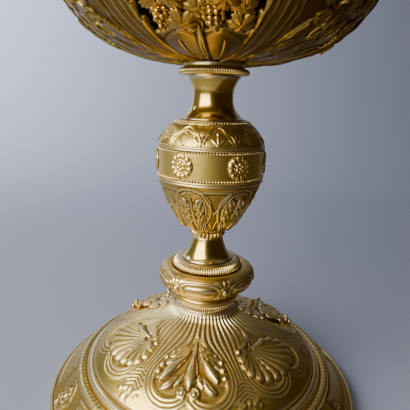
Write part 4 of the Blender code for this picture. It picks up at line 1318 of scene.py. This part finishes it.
def finish_of(kind):
    """The material of a kind of gilt surface."""
    hues = bpy.context.scene.ciborium_colours
    clean, worn, brown, cast = tuple(hues.gilt), tuple(hues.worn), tuple(hues.brown), tuple(hues.cast)
    looks = {
        # Burnished with an agate: mirrors the window and the dark of the room
        "polished_gilt": ("burnished_fire_gilding", clean, worn, brown, 0.12, 0.40, 0.5),
        # Chased and brushed: satin gold, pale on the ridges, with old wax and painted shade in the lines
        "chased_gilt": ("chased_fire_gilding", clean, worn, brown, 0.25, 0.55, 0.85),
        # Cast and left matt: a soft, paler gleam that shows every hollow, browned with old wax and painted
        # shade
        "cast_gilt": ("cast_matt_gilding", cast, worn, brown, 0.38, 0.62, 1.0),
        # Orange-brown, a darker copy of the clean gilding: painted shade over the vine, bright only on its
        # ridges
        "vine_gilt": ("shaded_vine_gilding", shaded_copy(clean, 0.54, 0.43, 0.30), shaded_copy(clean, 0.95, 0.85, 0.70),
                      brown, 0.30, 0.60, 0.9),
        # Dark over the whole bowl, a darker copy of the clean gilding: painted shade, with rubbed lines on its
        # straps
        "bowl_gilt": ("shaded_bowl_gilding", shaded_copy(clean, 0.36, 0.31, 0.27), shaded_copy(clean, 0.8, 0.8, 0.8),
                      brown, 0.30, 0.60, 0.9),
    }
    return gilt(*looks[kind])


# Operators


class CIBORIUM_OT_foot(bpy.types.Operator):
    """Turn and chase the domed foot and its flange"""

    bl_idname = "ciborium.foot"
    bl_label = "Foot"

    def execute(self, context):
        make_turned("foot_dome", foot_dome_outline(), FOOT_STEPS, "chased_gilt", "foot", foot_dome_relief)
        make_turned("foot_flange", foot_flange_outline(), FOOT_STEPS, "chased_gilt", "foot", flange_relief)
        return {"FINISHED"}


class CIBORIUM_OT_stem(bpy.types.Operator):
    """Turn the collars, rings, spool and neck of the stem"""

    bl_idname = "ciborium.stem"
    bl_label = "Stem Rings and Necks"

    def execute(self, context):
        fine = STEPS_PER_TICK * context.scene.ciborium_sizes.ticks
        beaded = STEPS_PER_GADROON * GADROONS
        for name, outline, steps, node, relief in (
            ("foot_collar_milled", foot_collar_outline(), fine, "foot_collar", milled(0.5, 14.15)),
            ("milled_ring_cut", milled_ring_outline(), fine, "milled_ring", milled(0.6, 15.1)),
            ("gadroon_ring_cut", gadroon_outline(), beaded, "gadroon_ring", gadrooned),
            ("bowl_collar_milled", bowl_collar_outline(), fine, "bowl_collar", milled(0.45, 14.6)),
        ):
            make_turned(name, outline, steps, "chased_gilt", node, relief)
        make_turned("spool_polished", spool_outline(), STEM_STEPS, "polished_gilt", "bell_spool")
        make_turned("neck_polished", neck_outline(), STEM_STEPS, "polished_gilt", "stem_neck")
        return {"FINISHED"}


class CIBORIUM_OT_knops(bpy.types.Operator):
    """Turn and chase the lower knop and the main knop"""

    bl_idname = "ciborium.knops"
    bl_label = "Knops"

    def execute(self, context):
        for name, outline, steps, node, relief in (
            ("lower_knop_chased", lower_knop_outline(), LOWER_KNOP_STEPS, "lower_knop", lower_knop_relief),
            ("main_knop_chased", main_knop_outline(), MAIN_KNOP_STEPS, "main_knop", knop_relief),
        ):
            make_turned(name, outline, steps, "chased_gilt", node, relief)
        return {"FINISHED"}


class CIBORIUM_OT_rosettes(bpy.types.Operator):
    """Model one rosette and set six round the band of the main knop"""

    bl_idname = "ciborium.rosettes"
    bl_label = "Rosettes"

    def execute(self, context):
        pattern = make_rosette()
        for number in range(FIELDS):
            twin = copied(pattern, Matrix.Identity(4))
            twin.name = f"rosette_{number + 1}_cast"
            wrap_on_band(twin, HALF_FIELD_DEG + FIELD_DEG * number, BAND_SEAT, BAND_MIDDLE)
            finish(twin, finish_of("chased_gilt"), "cast_gilt", f"rosette_{number + 1}")
        bpy.data.objects.remove(pattern)
        return {"FINISHED"}


class CIBORIUM_OT_beads(bpy.types.Operator):
    """Set the rows of beads beside the main knop's band"""

    bl_idname = "ciborium.beads"
    bl_label = "Bead Rows"

    def execute(self, context):
        sizes = context.scene.ciborium_sizes
        for name, level, radius, count, share in (
            ("upper_bead_row", 39.1, 24.55, sizes.beads, 1.0),
            ("lower_bead_row", 27.4, 24.55, sizes.beads, 1.0),
            ("shoulder_bead_row", 51.2, 17.35, 80, 0.8),
        ):
            row = bead_row(name, radius, KNOP_BASE + level, count, share * sizes.bead_radius)
            finish(row, finish_of("chased_gilt"), "chased_gilt", "main_knop")
        return {"FINISHED"}


class CIBORIUM_OT_sprays(bpy.types.Operator):
    """Cast the two sprays of vine leaves and grapes on the foot"""

    bl_idname = "ciborium.sprays"
    bl_label = "Vine Sprays"

    def execute(self, context):
        for name, field, kind in (("vine_spray_right", 2, "cast_gilt"), ("vine_spray_left", 4, "chased_gilt")):
            # The sprays' places near the dome are browned: painted shade under their leaves and grapes
            finish(make_spray_piece(name, field), finish_of(kind), "cast_gilt", name, ground=dome_height)
        return {"FINISHED"}


class CIBORIUM_OT_bowl(bpy.types.Operator):
    """Turn the cup and the pierced cradle, and set vine leaves and grapes in its windows"""

    bl_idname = "ciborium.bowl"
    bl_label = "Cup and Cradle"

    def execute(self, context):
        make_turned("cup_polished", cup_outline(), CUP_STEPS, "polished_gilt", "cup")
        cradle = turn("cradle_pierced", cradle_outline(), CRADLE_STEPS, closed=False)
        chase(cradle, cradle_relief)
        cut_through(cradle, pierced)
        thicken(cradle, CRADLE_WALL)
        finish(cradle, finish_of("bowl_gilt"), "chased_gilt", "false_cup")
        finish(make_bowl_vine(), finish_of("vine_gilt"), "chased_gilt", "false_cup")
        return {"FINISHED"}


class CIBORIUM_OT_lid(bpy.types.Operator):
    """Turn and chase the lid and turn its finial"""

    bl_idname = "ciborium.lid"
    bl_label = "Lid and Finial"

    def execute(self, context):
        make_turned("lid_chased", lid_outline(), LID_STEPS, "chased_gilt", "lid", lid_relief)
        make_turned("finial_polished", finial_outline(), SMALL_STEPS, "polished_gilt", "finial")
        return {"FINISHED"}


class CIBORIUM_OT_cross(bpy.types.Operator):
    """Cut the cross from plate and round its edges"""

    bl_idname = "ciborium.cross"
    bl_label = "Cross"

    def execute(self, context):
        cross = draw_outline("cross_plate", cross_points())
        bpy.ops.mesh.select_all(action="SELECT")
        bpy.ops.mesh.remove_doubles(threshold=MERGE_GAP)
        bpy.ops.mesh.edge_face_add()
        bpy.ops.transform.translate(value=(0.0, -0.5 * CROSS_THICKNESS * MM, 0.0))
        bpy.ops.mesh.extrude_region_move(TRANSFORM_OT_translate={"value": (0.0, CROSS_THICKNESS * MM, 0.0)})
        bpy.ops.mesh.select_all(action="SELECT")
        bpy.ops.mesh.normals_make_consistent(inside=False)
        bpy.ops.object.mode_set(mode="OBJECT")
        edges = cross.modifiers.new("Rounded edges", "BEVEL")
        edges.width = CROSS_ROUNDING * MM
        edges.segments = 3
        edges.limit_method = "ANGLE"
        edges.angle_limit = radians(50.0)
        bpy.ops.object.modifier_apply(modifier=edges.name)
        bpy.ops.object.shade_smooth_by_angle(angle=radians(35.0))
        finish(cross, finish_of("cast_gilt"), "cast_gilt", "cross")
        return {"FINISHED"}


class CIBORIUM_OT_stage(bpy.types.Operator):
    """Set up the floor, the backdrop, the lights and the camera"""

    bl_idname = "ciborium.stage"
    bl_label = "Stage"

    def execute(self, context):
        make_sweep(context)
        make_lights(context)
        make_camera(context)
        return {"FINISHED"}


def make_matt(sheet, name, material_name, hue):
    """Names a sheet of the stage and gives it a matt material."""
    sheet.name = name
    material = bpy.data.materials.new(material_name)
    material.use_nodes = True
    shader = material.node_tree.nodes["Principled BSDF"].inputs
    shader["Base Color"].default_value = (*hue, 1.0)
    shader["Roughness"].default_value = 0.9
    sheet.data.materials.append(material)


def make_sweep(context):
    """A pale paper sweep that curves up into the backdrop, and a dark flag that only reflections show, painting
    shade into the metal's right side.
    """
    hues = context.scene.ciborium_colours
    start_piece()
    bpy.ops.mesh.primitive_grid_add(x_subdivisions=1, y_subdivisions=40, size=2.0, location=(0.0, 0.0, 0.0))
    sweep = context.active_object
    flat, bend, width, front = 1.9, 0.45, 0.9, -1.4
    for vertex in sweep.data.vertices:
        run = 1.5 * (vertex.co.y + 1.0)
        turn_by = min(max((run - flat) / bend, 0.0), 0.5 * pi)
        y = min(run, flat) + bend * np.sin(turn_by)
        z = bend * (1.0 - np.cos(turn_by)) + max(run - flat - 0.5 * pi * bend, 0.0)
        vertex.co = (width * vertex.co.x, front + y, z - CLEARANCE)
    bpy.ops.object.shade_smooth()
    make_matt(sweep, "paper_sweep", "matt_backdrop_paper", hues.backdrop)
    # A dark sheet on the right that the camera, diffuse light and shadows don't see: painted shade in the
    # metal's reflections
    bpy.ops.mesh.primitive_plane_add(size=1.0, location=(0.42, 0.0, CLEARANCE))
    flag = context.active_object
    flag.scale = (0.62, 1.3, 1.0)
    bpy.ops.object.transform_apply(location=True, rotation=True, scale=True)
    make_matt(flag, "painted_shade_flag", "painted_shade_sheet", hues.cloth)
    flag.visible_camera = False
    flag.visible_diffuse = False
    flag.visible_shadow = False


def make_lights(context):
    """A big window to the left, a light on the sweep, and a dim room that the camera sees as plain grey."""
    def area(name, place, aim, size, power, tint):
        light = bpy.data.lights.new(name, "AREA")
        light.shape = "RECTANGLE"
        light.size, light.size_y = size
        light.energy = power
        light.color = tint
        lamp = bpy.data.objects.new(name, light)
        lamp.location = place
        lamp.rotation_euler = (Vector(aim) - Vector(place)).to_track_quat("-Z", "Y").to_euler()
        lamp.visible_camera = False
        context.scene.collection.objects.link(lamp)

    area("window_light", (-0.40, -0.38, 0.38), (0.0, 0.0, 0.11), (0.62, 0.48), 10.5, (1.0, 0.985, 0.96))
    area("wall_light", (-0.75, 0.45, 0.70), (-0.60, 1.0, 0.40), (0.4, 0.4), 20.0, (0.93, 0.96, 1.0))
    world = bpy.data.worlds.new("dim_room")
    context.scene.world = world
    world.use_nodes = True
    tree = world.node_tree
    way = add_node(tree, "ShaderNodeTexCoord", output="Generated")
    across = add_node(tree, "ShaderNodeSeparateXYZ", {0: way})
    upward = across.node.outputs[2]
    to_right, to_top = (
        add_node(tree, "ShaderNodeMapRange", dict(zip(RANGE, limits)), interpolation_type="SMOOTHSTEP")
        for limits in ((across, -0.75, 0.35, 0.0, 1.0), (upward, 0.55, 1.0, 0.0, 1.0))
    )
    seen = add_node(tree, "ShaderNodeLightPath", output="Is Camera Ray")
    air = ROOM_LEFT
    for share, other in ((to_right, ROOM_RIGHT), (to_top, ROOM_TOP), (seen, PLAIN_GREY)):
        air = add_node(tree, "ShaderNodeMix", {0: share, 6: air, 7: other}, 2, data_type="RGBA")
    tree.links.new(air, tree.nodes["Background"].inputs["Color"])


def make_camera(context):
    """The photograph's view: from 188 mm in front of the axis and 149 mm up, looking 14 degrees down."""
    pitch, yaw, roll = radians(14.35), radians(-0.59), radians(-2.04)
    ahead = Vector((sin(yaw) * cos(pitch), cos(yaw) * cos(pitch), -sin(pitch)))
    right = Vector((cos(yaw), -sin(yaw), 0.0))
    down = ahead.cross(right)
    across = cos(roll) * right + sin(roll) * down
    below = -sin(roll) * right + cos(roll) * down
    camera = bpy.data.cameras.new("photo_camera")
    camera.sensor_width = 36.0
    camera.lens = camera.sensor_width * FOCAL_PIXELS / WIDTH_PIXELS
    camera.clip_start = 0.01
    stand = bpy.data.objects.new("photo_camera", camera)
    turn_to = Matrix((across, -below, -ahead)).transposed()
    stand.matrix_world = Matrix.Translation(EYE) @ turn_to.to_4x4()
    context.scene.collection.objects.link(stand)
    context.scene.camera = stand


class VIEW3D_PT_ciborium(bpy.types.Panel):
    """Lists the pieces, sizes and colours in the sidebar"""

    bl_label = "Gilt Ciborium"
    bl_space_type = "VIEW_3D"
    bl_region_type = "UI"
    bl_category = "Ciborium"

    def draw(self, context):
        layout = self.layout
        for group in (context.scene.ciborium_sizes, context.scene.ciborium_colours):
            box = layout.box()
            for prop in group.__annotations__:
                box.prop(group, prop)
        for operator in OPERATORS:
            layout.operator(operator.bl_idname)


OPERATORS = (
    CIBORIUM_OT_foot,
    CIBORIUM_OT_stem,
    CIBORIUM_OT_knops,
    CIBORIUM_OT_rosettes,
    CIBORIUM_OT_beads,
    CIBORIUM_OT_sprays,
    CIBORIUM_OT_bowl,
    CIBORIUM_OT_lid,
    CIBORIUM_OT_cross,
    CIBORIUM_OT_stage,
)
CLASSES = (CiboriumSizes, CiboriumColours, *OPERATORS, VIEW3D_PT_ciborium)


def register():
    for cls in CLASSES:
        bpy.utils.register_class(cls)
    bpy.types.Scene.ciborium_sizes = bpy.props.PointerProperty(type=CiboriumSizes)
    bpy.types.Scene.ciborium_colours = bpy.props.PointerProperty(type=CiboriumColours)


def unregister():
    del bpy.types.Scene.ciborium_colours
    del bpy.types.Scene.ciborium_sizes
    for cls in reversed(CLASSES):
        bpy.utils.unregister_class(cls)


def main():
    register()
    bpy.ops.ciborium.foot()
    bpy.ops.ciborium.stem()
    bpy.ops.ciborium.knops()
    bpy.ops.ciborium.rosettes()
    bpy.ops.ciborium.beads()
    bpy.ops.ciborium.sprays()
    bpy.ops.ciborium.bowl()
    bpy.ops.ciborium.lid()
    bpy.ops.ciborium.cross()
    bpy.ops.ciborium.stage()


if __name__ == "__main__":
    main()
